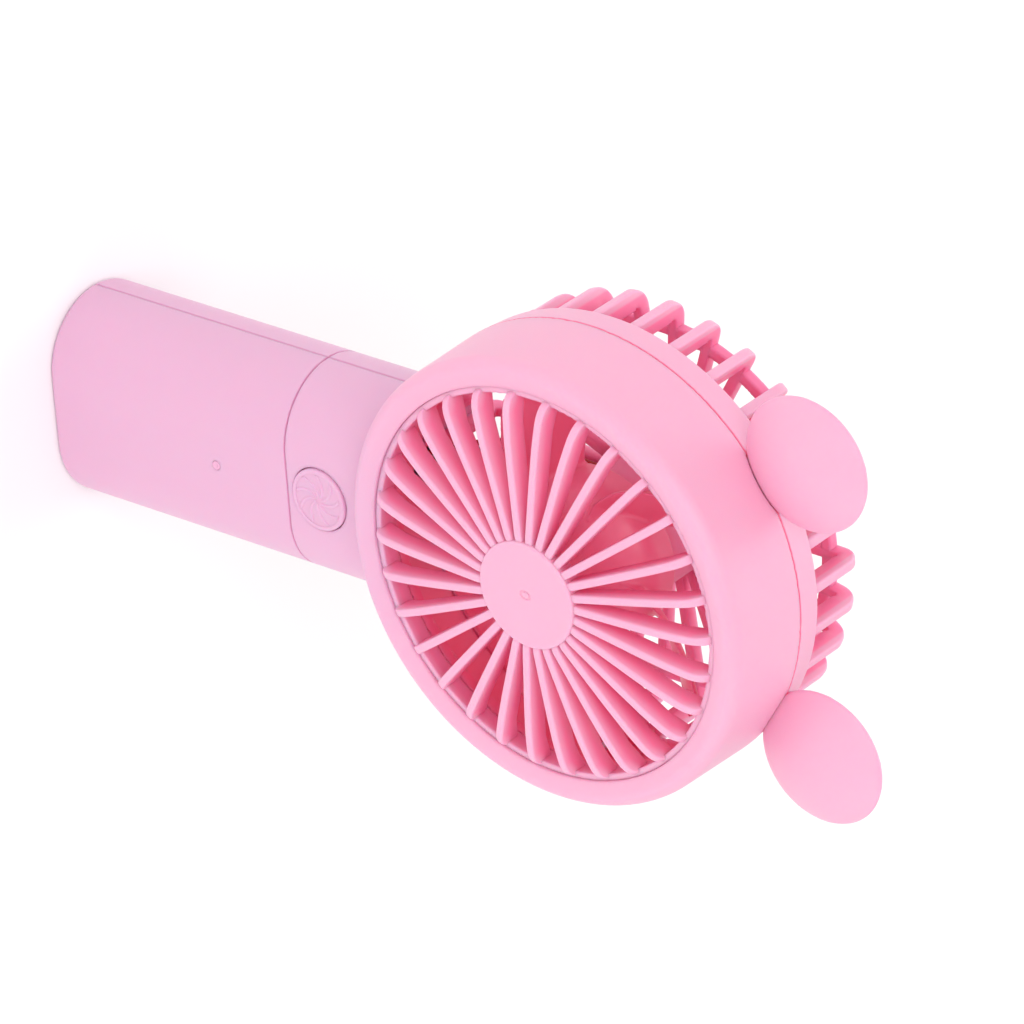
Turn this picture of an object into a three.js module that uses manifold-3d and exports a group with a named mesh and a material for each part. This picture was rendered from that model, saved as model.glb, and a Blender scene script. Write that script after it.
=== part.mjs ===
// Handheld rechargeable fan: a round head with two ears on a chunky upright handle.
// Millimetres, +Z up the handle, the front of the fan faces -Y.
// The origin is the centre of the handle's flat bottom face.
import * as THREE from "three";
import { mergeVertices } from "three/addons/utils/BufferGeometryUtils.js";
import Module from "manifold-3d";

// Driving dimensions
const GAP = 0.3; // between neighbouring pieces
const FIT = 0.1; // radial clearance of a pin in its hole
const HALF_GAP = GAP / 2; // each shell stops this far from the parting plane Y = 0
const WALL = 2;

const HEAD_Z = 134; // height of the fan's axis, which runs along Y
const HEAD_R = 49.4; // head radius at the parting plane
const HEAD_FRONT_R = 49; // head radius where the bezel starts to round over
const HEAD_BORE_R = 46.9;
const BEZEL_APEX_R = 45.6;
const BEZEL_APEX_Y = -21.2;
const GRILLE_SEAT_R = 43;
const GRILLE_SEAT_Y = -15.1;
const GRILLE_BORE_R = 41.7;

const RIB_COUNT = 30; // front and rear grilles alike
const RIM_STEPS = 40; // sides of the head's round pieces
const FRONT_RIB_WIDTH = 1.8;
const REAR_RIB_WIDTH = 2.2;
const FRONT_DISC_R = 11.8;
const FRONT_DISC_Y = -25.1;
const REAR_RING_R = 48.2; // the head's rear edge
const REAR_RING_Y = 7;
const REAR_RIB_R = 47.6;
const REAR_FACE_Y = 23.7;
const REAR_CORNER_R = 4.5;
const REAR_TIE_R = 41.2; // ring that ties the rear ribs together
const REAR_HUB_R = 16;
const REAR_HUB_Y = 24.4;
const REAR_HUB_INNER_Y = 20.8; // the motor stands in front of this face

const EAR_R = 14.9;
const EAR_X = 32.9;
const EAR_Z = HEAD_Z + 52.7;
const EAR_RIM_Y = 0.4;
const EAR_RIM_ROUNDING = 1.1;
const EAR_FRONT_BULGE = 5.6; // depth of the domed faces in front of and behind the rim
const EAR_REAR_BULGE = 3.6;

const HANDLE_WIDTH = 46.8;
const HANDLE_DEPTH = 31.4;
const NECK_Z = 64.2; // seam between the handle and the neck
const SPIGOT_Z = 57; // lower end of the neck's tongue inside the handle
const SPIGOT_WALL = 1.4;
const FOOT_ROUNDING = 1.5;
const FLOOR = 2.4;
const FLOOR_INSET = 5; // border of the floor plate that belongs to the front shell

const BUTTON_Z = 72.8;
const BUTTON_R = 6.9;
const BUTTON_FACE_Y = -16.3;
const BUTTON_BACK_Y = -12.6;
const BUTTON_FLANGE_R = 7.9;
const LENS_Z = 45;
const LENS_R = 1;
const BOARD_FRONT_Y = -10.8;
const BOARD_THICKNESS = 1.2;
const SOCKET_Z = 74;

const BATTERY_R = 9.2;
const BATTERY_Y = 1.5;
const BATTERY_Z = 3.7;
const BATTERY_LENGTH = 65;

const SHAFT_R = 1;
const BUSH_R = 2.9;
const MOTOR_R = 12;
const MOTOR_FRONT_Y = -6;
const MOTOR_BACK_Y = 17.6;
const MOTOR_CUP_R = 14.2;
const MOTOR_CUP_FRONT_Y = 2; // just behind the impeller's hub
const HUB_R = 17.5;
const HUB_FRONT_Y = -12.5;
const HUB_RIM_Y = 1;
const BLADE_COUNT = 5;
const BLADE_TIP_R = 38.5;
const BLADE_PHASE = 35; // degrees from +Z towards +X of one blade's front corner

const SHELL_SCREW_X = 16.5;
const NECK_SCREW_Z = 78;
const HANDLE_SCREW_Z = [12, 50];
const HEAD_SCREW_R = 44.6;
const MOTOR_SCREW_OFFSET = 6.5;
const MOTOR_SCREW_SEAT_Y = 22.4;
const BOSS_R = 2.8;
const SHANK_R = 1.1;
const SCREW_HEAD_R = 2.3;
const SCREW_SEAT_Y = 8.9;

const wasm = await Module();
wasm.setup();

const toRadians = THREE.MathUtils.degToRad;

// Solids

function solidOf(geometry) {
  const bare = geometry.clone();
  bare.deleteAttribute("normal");
  bare.deleteAttribute("uv");
  const merged = mergeVertices(bare, 1e-4);
  const vertProperties = new Float32Array(merged.attributes.position.array);
  const triVerts = new Uint32Array(merged.index.array);
  return new wasm.Manifold(new wasm.Mesh({ numProp: 3, vertProperties, triVerts }));
}

function geometryOf(solid) {
  const { vertProperties, triVerts } = solid.getMesh();
  const geometry = new THREE.BufferGeometry();
  geometry.setAttribute("position", new THREE.BufferAttribute(vertProperties, 3));
  geometry.setIndex(new THREE.BufferAttribute(triVerts, 1));
  geometry.computeVertexNormals();
  return geometry;
}

function joined(...solids) {
  return solids.flat().reduce((sum, solid) => sum.add(solid));
}

function block(x0, x1, y0, y1, z0, z1) {
  const box = new THREE.BoxGeometry(x1 - x0, y1 - y0, z1 - z0);
  return solidOf(box.translate((x0 + x1) / 2, (y0 + y1) / 2, (z0 + z1) / 2));
}

// A round bar along Y.
function bar(radius, y0, y1, x, z, sides = 12) {
  const cylinder = new THREE.CylinderGeometry(radius, radius, y1 - y0, sides);
  return solidOf(cylinder.translate(x, (y0 + y1) / 2, z));
}

// A solid of revolution about the Y axis through (x, z), from an outline of [radius, y] points.
function turned(outline, sides = RIM_STEPS, x = 0, z = HEAD_Z) {
  const points = outline.map(([radius, y]) => new THREE.Vector2(radius, y));
  const clockwise = THREE.ShapeUtils.area(points) < 0;
  if (clockwise) points.reverse();
  const onAxis = points[0].x === 0;
  if (!onAxis) points.push(points[0].clone());
  return solidOf(new THREE.LatheGeometry(points, sides).translate(x, 0, z));
}

// Points of an arc in an outline; angles in degrees, 0 along the radius and 90 along +Y.
function arc(centreR, centreY, radius, from, to, steps) {
  return Array.from({ length: steps + 1 }, (_, i) => {
    const angle = toRadians(from + ((to - from) * i) / steps);
    return [centreR + radius * Math.cos(angle), centreY + radius * Math.sin(angle)];
  });
}

// A plate in the plane that holds the fan's axis, turned to an angle from +Z towards +X.
function radialPlate(outline, thickness, degrees) {
  const shape = new THREE.Shape(outline.map(([radius, y]) => new THREE.Vector2(radius, y)));
  const plate = new THREE.ExtrudeGeometry(shape, { depth: thickness, bevelEnabled: false });
  plate.translate(0, 0, -thickness / 2);
  plate.rotateY(toRadians(degrees - 90));
  return solidOf(plate.translate(0, 0, HEAD_Z));
}

function onHead(radius, degrees) {
  const angle = toRadians(degrees);
  return [radius * Math.sin(angle), HEAD_Z + radius * Math.cos(angle)];
}

// The handle's section, drawn in from its full size by an inset, as an upright prism.
function prism(inset, z0, z1, footRounding = 0) {
  const radius = HANDLE_DEPTH / 2 - inset;
  const straight = (HANDLE_WIDTH - HANDLE_DEPTH) / 2;
  const shape = new THREE.Shape();
  shape.absarc(straight, 0, radius, -Math.PI / 2, Math.PI / 2);
  shape.absarc(-straight, 0, radius, Math.PI / 2, (3 * Math.PI) / 2);
  const options = { depth: z1 - z0, bevelEnabled: false, curveSegments: 9 };
  if (!footRounding) {
    return solidOf(new THREE.ExtrudeGeometry(shape, options).translate(0, 0, z0));
  }
  Object.assign(options, {
    bevelEnabled: true,
    bevelThickness: footRounding,
    bevelSize: footRounding,
    bevelOffset: -footRounding,
    bevelSegments: 3,
  });
  const rounded = new THREE.ExtrudeGeometry(shape, options);
  return solidOf(rounded.translate(0, 0, z0 + footRounding));
}

function frontHalf(solid) {
  return solid.intersect(block(-60, 60, -60, -HALF_GAP, -10, 240));
}

function rearHalf(solid) {
  return solid.intersect(block(-60, 60, HALF_GAP, 60, -10, 240));
}

// A wire along a smooth curve through its points.
function wire(points, radius = 0.6) {
  const corners = Array.from({ length: 5 }, (_, i) => {
    const angle = (i * 2 * Math.PI) / 5;
    return new THREE.Vector2(radius * Math.cos(angle), radius * Math.sin(angle));
  });
  const route = new THREE.CatmullRomCurve3(points.map((point) => new THREE.Vector3(...point)));
  const options = { steps: 3 * points.length, bevelEnabled: false, extrudePath: route };
  return solidOf(new THREE.ExtrudeGeometry(new THREE.Shape(corners), options));
}

// Head shells

// Outer form of an ear, grown by a clearance: a lens that bulges more in front than behind.
function earForm(x, grow = 0) {
  const dome = (share, bulge) => [share * EAR_R, EAR_RIM_Y + bulge * (1 - share * share)];
  const front = -EAR_FRONT_BULGE - grow;
  const rear = EAR_REAR_BULGE + grow;
  const outline = [
    ...[0, 0.35, 0.6, 0.82].map((share) => dome(share, front)),
    ...arc(EAR_R - EAR_RIM_ROUNDING, EAR_RIM_Y, EAR_RIM_ROUNDING + grow, -50, 60, 3),
    ...[0.75, 0.4, 0].map((share) => dome(share, rear)),
  ];
  return turned(outline, 24, x, EAR_Z);
}

function neckShell() {
  const outer = prism(0, NECK_Z + HALF_GAP, HEAD_Z - 40);
  const tongue = prism(WALL + GAP, SPIGOT_Z, NECK_Z + 1);
  const bore = prism(WALL + GAP + SPIGOT_WALL, SPIGOT_Z - 1, NECK_Z + 5);
  const headCore = turned([[0, -40], [HEAD_FRONT_R, -40], [HEAD_FRONT_R, 40], [0, 40]]);
  const room = prism(WALL, NECK_Z + 1, HEAD_Z - 40).subtract(headCore);
  const headRoom = turned([[0, -30], [HEAD_BORE_R, -30], [HEAD_BORE_R, 30], [0, 30]]);
  return joined(outer, tongue).subtract(joined(bore, room, headRoom));
}

// Hole at the foot of the head that lets the motor's wires through from the neck.
function wireHole() {
  return block(-9, -2.4, -2.5, 4.5, HEAD_Z - 52, HEAD_Z - 44);
}

// Screw bosses that run from one shell's wall through to the other's.
function shellBosses(places) {
  return places.map(([x, z]) =>
    bar(BOSS_R, -HANDLE_DEPTH / 2, HANDLE_DEPTH / 2, x, z).intersect(prism(1, z - 5, z + 5)),
  );
}

function screwHoles(places, yFront, ySeat, yOut) {
  return places.map(([x, z]) =>
    joined(
      bar(SHANK_R + FIT, yFront, ySeat + 1, x, z),
      bar(SCREW_HEAD_R + GAP, ySeat, yOut, x, z),
    ),
  );
}

const neckScrewPlaces = [-SHELL_SCREW_X, SHELL_SCREW_X].map((x) => [x, NECK_SCREW_Z]);
const handleScrewPlaces = HANDLE_SCREW_Z.flatMap((z) =>
  [-SHELL_SCREW_X, SHELL_SCREW_X].map((x) => [x, z]),
);
const headScrewPlaces = [-90, 90].map((degrees) => onHead(HEAD_SCREW_R, degrees));
const motorScrewHeights = [HEAD_Z - MOTOR_SCREW_OFFSET, HEAD_Z + MOTOR_SCREW_OFFSET];

function frontHousing() {
  const ring = turned([
    [HEAD_R, 0],
    [HEAD_FRONT_R, -17.8],
    ...arc(BEZEL_APEX_R, BEZEL_APEX_Y + 3.4, 3.4, -20, -90, 3),
    [GRILLE_SEAT_R, -20.3],
    [GRILLE_SEAT_R, GRILLE_SEAT_Y],
    [GRILLE_BORE_R, GRILLE_SEAT_Y],
    [GRILLE_BORE_R, GRILLE_SEAT_Y + 1.6],
    [HEAD_BORE_R, GRILLE_SEAT_Y + 3.4],
    [HEAD_BORE_R, 0],
  ]);
  const headBosses = headScrewPlaces.map(([x, z]) => bar(BOSS_R, -12.4, 0, x, z));
  const boardPosts = [-9, 9].map((x) => bar(1.8, -14, BOARD_FRONT_Y - GAP, x, 81));
  const buttonHole = joined(
    bar(BUTTON_R + GAP, -20, -10, 0, BUTTON_Z, 24),
    bar(BUTTON_FLANGE_R + GAP, BUTTON_BACK_Y - 1, -8, 0, BUTTON_Z, 24),
  );
  const whole = joined(ring, neckShell(), shellBosses(neckScrewPlaces), headBosses, boardPosts);
  const ears = joined(earForm(-EAR_X, GAP), earForm(EAR_X, GAP));
  const holes = screwHoles([...neckScrewPlaces, ...headScrewPlaces], -8, 1, 4);
  return frontHalf(whole.subtract(joined(buttonHole, ears, wireHole(), ...holes)));
}

// One rear rib: a bar along the axis that bends over the corner and runs in to the hub.
function rearRib(degrees) {
  const cornerR = REAR_RIB_R - REAR_CORNER_R;
  const cornerY = REAR_FACE_Y - REAR_CORNER_R;
  const outline = [
    [REAR_RING_R, REAR_RING_Y - 1],
    ...arc(cornerR, cornerY, REAR_CORNER_R, 0, 90, 3),
    [REAR_HUB_R - 1, REAR_FACE_Y + 0.2],
    [REAR_HUB_R - 1, REAR_FACE_Y - 2.6],
    [cornerR, cornerY],
    [cornerR, REAR_RING_Y - 1],
  ];
  return radialPlate(outline, REAR_RIB_WIDTH, degrees);
}

function rearHub() {
  const inner = REAR_HUB_INNER_Y;
  const cupBore = MOTOR_R + 0.4;
  const disc = turned([[0, inner], [REAR_HUB_R, inner], [REAR_HUB_R, REAR_HUB_Y], [0, REAR_HUB_Y]],
    RIB_COUNT);
  const cup = turned([
    [cupBore, MOTOR_CUP_FRONT_Y],
    [MOTOR_CUP_R, MOTOR_CUP_FRONT_Y],
    [MOTOR_CUP_R, inner + 1],
    [cupBore, inner + 1],
  ], RIB_COUNT);
  const wireSlot = block(-8, 2, 13.5, inner - 0.1, HEAD_Z - 16, HEAD_Z - 9);
  const holes = motorScrewHeights.map((z) =>
    joined(bar(1, inner - 2, 30, 0, z), bar(2.2, MOTOR_SCREW_SEAT_Y, 30, 0, z)),
  );
  return joined(disc, cup).subtract(joined(wireSlot, ...holes));
}

function rearHousing() {
  const band = turned([
    [HEAD_R, 0],
    [HEAD_R - 0.5, 5.4],
    [REAR_RING_R, REAR_RING_Y],
    [HEAD_BORE_R - 0.5, REAR_RING_Y],
    [HEAD_BORE_R - 0.5, 0],
  ]);
  const tie = turned([
    [REAR_TIE_R, REAR_FACE_Y - 2.6],
    [REAR_TIE_R, REAR_FACE_Y - 0.8],
    [REAR_TIE_R - 2, REAR_FACE_Y - 0.8],
    [REAR_TIE_R - 2, REAR_FACE_Y - 2.6],
  ], RIB_COUNT);
  const ribs = Array.from({ length: RIB_COUNT }, (_, i) => rearRib((i * 360) / RIB_COUNT));
  const headRoom = turned([[0, -8], [HEAD_BORE_R - 0.5, -8], [HEAD_BORE_R - 0.5, REAR_RING_Y],
    [0, REAR_RING_Y]]);
  const ears = joined(earForm(-EAR_X), earForm(EAR_X)).subtract(headRoom);
  const drumCut = turned([[0, -8], [HEAD_R + GAP, -8], [HEAD_R + GAP, HALF_GAP], [0, HALF_GAP]]);
  const headBosses = headScrewPlaces.map(([x, z]) => bar(BOSS_R, 0, REAR_RING_Y, x, z));
  const shelf = block(-9, 9, 11.8, 14.2, SOCKET_Z - 4.2, SOCKET_Z - 3);
  const body = rearHalf(
    joined(band, neckShell(), shellBosses(neckScrewPlaces), headBosses, shelf),
  );
  const socketHole = block(-4.2, 4.2, 12, 20, SOCKET_Z - 1.8, SOCKET_Z + 1.8);
  const neckHoles = screwHoles(neckScrewPlaces, -2, SCREW_SEAT_Y, 20);
  const headHoles = screwHoles(headScrewPlaces, -2, 5.2, 12);
  return joined(body, ears.subtract(drumCut), tie, rearHub(), ribs)
    .subtract(joined(socketHole, wireHole(), ...neckHoles, ...headHoles));
}

// Grille insert: a rim, a disc and blade-like ribs that shoulder up from the rim.
function frontGrille() {
  const rim = turned([
    [GRILLE_BORE_R, GRILLE_SEAT_Y - GAP],
    [GRILLE_SEAT_R - GAP, GRILLE_SEAT_Y - GAP],
    [GRILLE_SEAT_R - GAP, -19.4],
    [GRILLE_BORE_R, -19.6],
  ], RIB_COUNT);
  const disc = turned([
    [0, FRONT_DISC_Y],
    [FRONT_DISC_R - 0.5, FRONT_DISC_Y],
    [FRONT_DISC_R, FRONT_DISC_Y + 0.5],
    [FRONT_DISC_R, -20.6],
    [0, -20.6],
  ], RIB_COUNT);
  const outline = [
    [42.2, -16],
    [42.5, -19.6],
    [41.4, -21.4],
    [38.6, -22.6],
    [27, -24],
    [13, -24.8],
    [FRONT_DISC_R - 1, -23.4],
    [FRONT_DISC_R - 1, -20.8],
    [34, -18.6],
  ];
  const ribs = Array.from({ length: RIB_COUNT }, (_, i) =>
    radialPlate(outline, FRONT_RIB_WIDTH, (i * 360) / RIB_COUNT),
  );
  return joined(rim, disc, ribs);
}

// Handle shells; the front one carries the floor plate, so the seam leaves the middle clear.
function handleTube() {
  const outer = prism(0, 0, 80, FOOT_ROUNDING);
  const room = prism(WALL, FLOOR, 80, WALL);
  const top = block(-60, 60, -60, 60, NECK_Z - HALF_GAP, 120);
  return joined(outer.subtract(room), shellBosses(handleScrewPlaces)).subtract(top);
}

function handleFront() {
  const floorPlate = prism(FLOOR_INSET, 0, FLOOR);
  const posts = [-9, 9].map((x) => bar(1.8, -14, BOARD_FRONT_Y - GAP, x, 49));
  const lensHole = bar(LENS_R + 0.2, -20, -10, 0, LENS_Z);
  const holes = screwHoles(handleScrewPlaces, -8, 1, 4);
  return joined(frontHalf(handleTube()), floorPlate, posts).subtract(joined(lensHole, ...holes));
}

function handleRear() {
  const floorCut = prism(FLOOR_INSET - GAP, -1, FLOOR + 1);
  const holes = screwHoles(handleScrewPlaces, -2, SCREW_SEAT_Y, 20);
  return rearHalf(handleTube()).subtract(joined(floorCut, ...holes));
}

// Power button, its switch and the indicator

function powerButton() {
  return turned([
    [0, BUTTON_FACE_Y],
    [BUTTON_R - 0.6, BUTTON_FACE_Y],
    [BUTTON_R, BUTTON_FACE_Y + 0.6],
    [BUTTON_R, BUTTON_BACK_Y - 0.7],
    [BUTTON_FLANGE_R, BUTTON_BACK_Y - 0.7],
    [BUTTON_FLANGE_R, BUTTON_BACK_Y],
    [BUTTON_R - 1.4, BUTTON_BACK_Y],
    [BUTTON_R - 1.4, BUTTON_FACE_Y + 1.5],
    [1.8, BUTTON_FACE_Y + 1.5],
    [1.8, BUTTON_FACE_Y + 2],
    [0, BUTTON_FACE_Y + 2],
  ], 24, 0, BUTTON_Z);
}

const SWITCH_FRONT_Y = BOARD_FRONT_Y - 2.2;
const PLUNGER_R = 1.6;

function switchBody() {
  const z0 = BUTTON_Z - 3;
  const housing = block(-3, 3, SWITCH_FRONT_Y, BOARD_FRONT_Y - GAP, z0, z0 + 6);
  return housing.subtract(bar(PLUNGER_R + 0.2, -20, BOARD_FRONT_Y - 0.6, 0, BUTTON_Z));
}

function switchPlunger() {
  return bar(PLUNGER_R, BUTTON_FACE_Y + 2 + GAP, BOARD_FRONT_Y - 1.6, 0, BUTTON_Z);
}

function indicatorLens() {
  return turned([[0, -15.75], [LENS_R - 0.2, -15.75], [LENS_R, -15.5], [LENS_R, -13.3], [1.8, -13.3],
    [1.8, -12.6], [0, -12.6]], 16, 0, LENS_Z);
}

function circuitBoard() {
  const y1 = BOARD_FRONT_Y + BOARD_THICKNESS;
  const notch = joined(block(-13, -10.5, -20, 0, 62, 66), block(10.5, 13, -20, 0, 62, 66));
  return block(-12, 12, BOARD_FRONT_Y, y1, 41, 83.4).subtract(notch);
}

function controlChip() {
  const y0 = BOARD_FRONT_Y + BOARD_THICKNESS + GAP;
  return block(-2.4, 2.4, y0, y0 + 1.4, 76.5, 80);
}

function chargeBoard() {
  return block(-8, 8, 3, 13.2, SOCKET_Z - 2.7, SOCKET_Z - 1.7);
}

// Steel shell of the charging socket, open to the rear.
function chargingSocket() {
  const z0 = SOCKET_Z - 1.4;
  const shell = block(-3.8, 3.8, 9.6, 15.2, z0, z0 + 2.9);
  return shell.subtract(block(-3.4, 3.4, 10.4, 20, z0 + 0.4, z0 + 2.5));
}

// Battery

function battery() {
  const crimp = 1;
  const outline = [
    [0, 0],
    [BATTERY_R - crimp, 0],
    [BATTERY_R, crimp],
    [BATTERY_R, BATTERY_LENGTH - 2],
    [BATTERY_R - crimp, BATTERY_LENGTH - 1],
    [3, BATTERY_LENGTH - 1],
    [3, BATTERY_LENGTH],
    [0, BATTERY_LENGTH],
  ].map(([radius, height]) => new THREE.Vector2(radius, height));
  const cell = new THREE.LatheGeometry(outline, 20).rotateX(Math.PI / 2);
  return solidOf(cell.translate(0, BATTERY_Y, BATTERY_Z));
}

function batteryTabs() {
  const top = BATTERY_Z + BATTERY_LENGTH + GAP;
  return {
    battery_tab_positive: block(-3, 4.8, BATTERY_Y - 2.5, BATTERY_Y + 2.5, top, top + 0.4),
    battery_tab_negative: block(-11.6, 3, BATTERY_Y - 3, BATTERY_Y + 2, 2.7, 3.4),
  };
}

function foamPad() {
  return block(-6, 6, BATTERY_Y + BATTERY_R + GAP, 13.4, 20, 45);
}

// Motor

function motorCan() {
  const bore = BUSH_R + GAP;
  return turned([
    [bore, MOTOR_FRONT_Y],
    [MOTOR_R - 1, MOTOR_FRONT_Y],
    [MOTOR_R, MOTOR_FRONT_Y + 1],
    [MOTOR_R, MOTOR_BACK_Y],
    [MOTOR_R - 0.8, MOTOR_BACK_Y],
    [MOTOR_R - 0.8, MOTOR_FRONT_Y + 1],
    [bore, MOTOR_FRONT_Y + 1],
  ], 24);
}

function motorEndCap() {
  const y0 = MOTOR_BACK_Y + GAP;
  const y1 = REAR_HUB_INNER_Y - GAP;
  const bore = BUSH_R + GAP;
  const plate = turned([[bore, y0], [MOTOR_R, y0], [MOTOR_R, y1], [bore, y1]], 24);
  const holes = motorScrewHeights.map((z) => bar(1, y0 - 1, y1 + 1, 0, z));
  return plate.subtract(joined(holes));
}

function bush(y0, y1) {
  const bore = SHAFT_R + FIT;
  return turned([[bore, y0], [BUSH_R, y0], [BUSH_R, y1], [bore, y1]], 12);
}

function armature() {
  const bore = SHAFT_R + FIT;
  return turned([[bore, -2], [8.6, -2], [8.6, 12], [bore, 12]], 12);
}

function commutator() {
  const bore = SHAFT_R + FIT;
  return turned([[bore, 12.3], [3.2, 12.3], [3.2, 16.4], [bore, 16.4]], 12);
}

// A curved magnet inside the can, centred on +X or -X.
function magnet(side) {
  const ring = turned([[9.2, -3], [10.9, -3], [10.9, 13], [9.2, 13]], 24);
  const limits = [6 * side, 30 * side].sort((a, b) => a - b);
  return ring.intersect(block(limits[0], limits[1], -5, 20, HEAD_Z - 20, HEAD_Z + 20));
}

// Impeller

// One swept blade, a thin sheet bent from a slab: front edge to rear edge, hub to tip.
function blade(degrees) {
  const slab = new THREE.BoxGeometry(1, 1, 1, 5, 6, 1);
  const place = slab.attributes.position;
  const rootR = HUB_R - 1.2;
  for (let i = 0; i < place.count; i += 1) {
    const span = place.getX(i) + 0.5;
    const chord = place.getY(i) + 0.5;
    const tipR = BLADE_TIP_R - 7 * Math.pow(chord, 4) - 1.5 * Math.pow(1 - chord, 6);
    const radius = rootR + span * (tipR - rootR);
    const sweep = -31 * (1 - (radius - rootR) / (BLADE_TIP_R - rootR));
    const turn = toRadians(degrees + sweep + (36 - 10 * span) * chord);
    const camber = 1.6 * Math.sin(Math.PI * chord);
    const frontY = -9 - 2.6 * span;
    const depth = frontY + (HUB_RIM_Y - 1 - frontY) * chord - camber * span;
    const thickness = 1.5 - 0.5 * span;
    const y = depth + thickness * place.getZ(i);
    place.setXYZ(i, radius * Math.sin(turn), y, HEAD_Z + radius * Math.cos(turn));
  }
  return solidOf(slab);
}

function impeller() {
  const hub = turned([
    [0, HUB_FRONT_Y],
    [8, HUB_FRONT_Y + 0.9],
    [13.4, HUB_FRONT_Y + 3],
    [16.6, HUB_FRONT_Y + 6],
    [HUB_R, HUB_FRONT_Y + 9.5],
    [HUB_R, HUB_RIM_Y],
    [HUB_R - 1.6, HUB_RIM_Y],
    [HUB_R - 1.6, HUB_FRONT_Y + 9.5],
    [12.4, HUB_FRONT_Y + 4.4],
    [3, HUB_FRONT_Y + 2],
    [3, MOTOR_FRONT_Y - 1],
    [0, MOTOR_FRONT_Y - 1],
  ], 32);
  const bore = bar(SHAFT_R + FIT, HUB_FRONT_Y + 1.4, 0, 0, HEAD_Z);
  const room = turned([[0, -7.6], [HUB_R - 1.6, -1], [HUB_R - 1.6, 4], [0, 4]], 32);
  const blades = Array.from({ length: BLADE_COUNT }, (_, i) =>
    blade(BLADE_PHASE + (i * 360) / BLADE_COUNT).subtract(room),
  );
  return joined(hub, blades).subtract(bore);
}

// Screws

function screw(x, z, headY, headR, shankR, tipY) {
  const headTop = headY + 1.5;
  const outline = [
    [0, tipY],
    [shankR, tipY + 1.2],
    [shankR, headY],
    [headR, headY],
    [headR, headTop - 0.5],
    [0, headTop],
  ];
  return turned(outline, 10, x, z);
}

// Materials

function plastic(colour, roughness) {
  return new THREE.MeshStandardMaterial({ color: colour, roughness, metalness: 0 });
}

function metal(colour, roughness) {
  return new THREE.MeshStandardMaterial({ color: colour, roughness, metalness: 1 });
}

const headPink = plastic(0xffb6d6, 0.5);
const handlePink = plastic(0xf1b9da, 0.55);
const impellerPink = plastic(0xff7fae, 0.35);
const lensWhite = plastic(0xf6e4ee, 0.3);
const blackPlastic = plastic(0x202022, 0.5);
const boardGreen = plastic(0x1d5c3a, 0.6);
const wrapperBlue = plastic(0x3f7fc4, 0.4);
const foamGrey = plastic(0x55565a, 0.95);
const redSheath = plastic(0xc02a2a, 0.5);
const blackSheath = plastic(0x1c1c1e, 0.5);
const steel = metal(0xb9bcc2, 0.35);
const nickel = metal(0xc9c6bd, 0.3);
const bronze = metal(0x9c7440, 0.45);
const copper = metal(0xb56a3c, 0.4);
const ferrite = plastic(0x3a3a3d, 0.8);

// Assembly

const fan = new THREE.Group();

function add(name, solid, material) {
  const mesh = new THREE.Mesh(geometryOf(solid), material);
  mesh.name = name;
  fan.add(mesh);
}

add("front_housing", frontHousing(), headPink);
add("rear_housing", rearHousing(), headPink);
add("front_grille", frontGrille(), headPink);
add("handle_front", handleFront(), handlePink);
add("handle_rear", handleRear(), handlePink);

add("power_button", powerButton(), handlePink);
add("switch_plunger", switchPlunger(), blackPlastic);
add("switch_body", switchBody(), blackPlastic);
add("indicator_lens", indicatorLens(), lensWhite);
add("indicator_led", block(-0.8, 0.8, -12, BOARD_FRONT_Y - GAP, LENS_Z - 0.8, LENS_Z + 0.8), lensWhite);
add("circuit_board", circuitBoard(), boardGreen);
add("control_chip", controlChip(), blackPlastic);
add("charge_board", chargeBoard(), boardGreen);
add("charging_socket", chargingSocket(), steel);

add("battery_cell", battery(), wrapperBlue);
for (const [name, tab] of Object.entries(batteryTabs())) add(name, tab, nickel);
add("battery_foam_pad", foamPad(), foamGrey);

add("motor_can", motorCan(), steel);
add("motor_end_cap", motorEndCap(), blackPlastic);
add("front_bush", bush(MOTOR_FRONT_Y - 0.4, MOTOR_FRONT_Y + 2.4), bronze);
add("rear_bush", bush(REAR_HUB_INNER_Y - 3.2, REAR_HUB_INNER_Y - 0.6), bronze);
add("motor_shaft", bar(SHAFT_R, HUB_FRONT_Y + 1.8, REAR_HUB_INNER_Y - 0.8, 0, HEAD_Z), steel);
add("armature", armature(), copper);
add("commutator", commutator(), copper);
add("magnet_left", magnet(-1), ferrite);
add("magnet_right", magnet(1), ferrite);
add("impeller", impeller(), impellerPink);

for (const [x, z] of neckScrewPlaces) {
  add(`neck_screw_${x < 0 ? "left" : "right"}`,
    screw(x, z, SCREW_SEAT_Y + GAP, SCREW_HEAD_R, SHANK_R, -7), steel);
}
for (const [x, z] of handleScrewPlaces) {
  const level = z > HANDLE_SCREW_Z[0] ? "upper" : "lower";
  add(`handle_screw_${level}_${x < 0 ? "left" : "right"}`,
    screw(x, z, SCREW_SEAT_Y + GAP, SCREW_HEAD_R, SHANK_R, -7), steel);
}
for (const [x, z] of headScrewPlaces) {
  add(`head_screw_${x < 0 ? "left" : "right"}`,
    screw(x, z, 5.5, SCREW_HEAD_R, SHANK_R, -7), steel);
}
for (const z of motorScrewHeights) {
  add(`motor_screw_${z < HEAD_Z ? "lower" : "upper"}`,
    screw(0, z, MOTOR_SCREW_SEAT_Y + GAP, 1.8, 0.85, MOTOR_BACK_Y + 0.5), steel);
}

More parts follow.
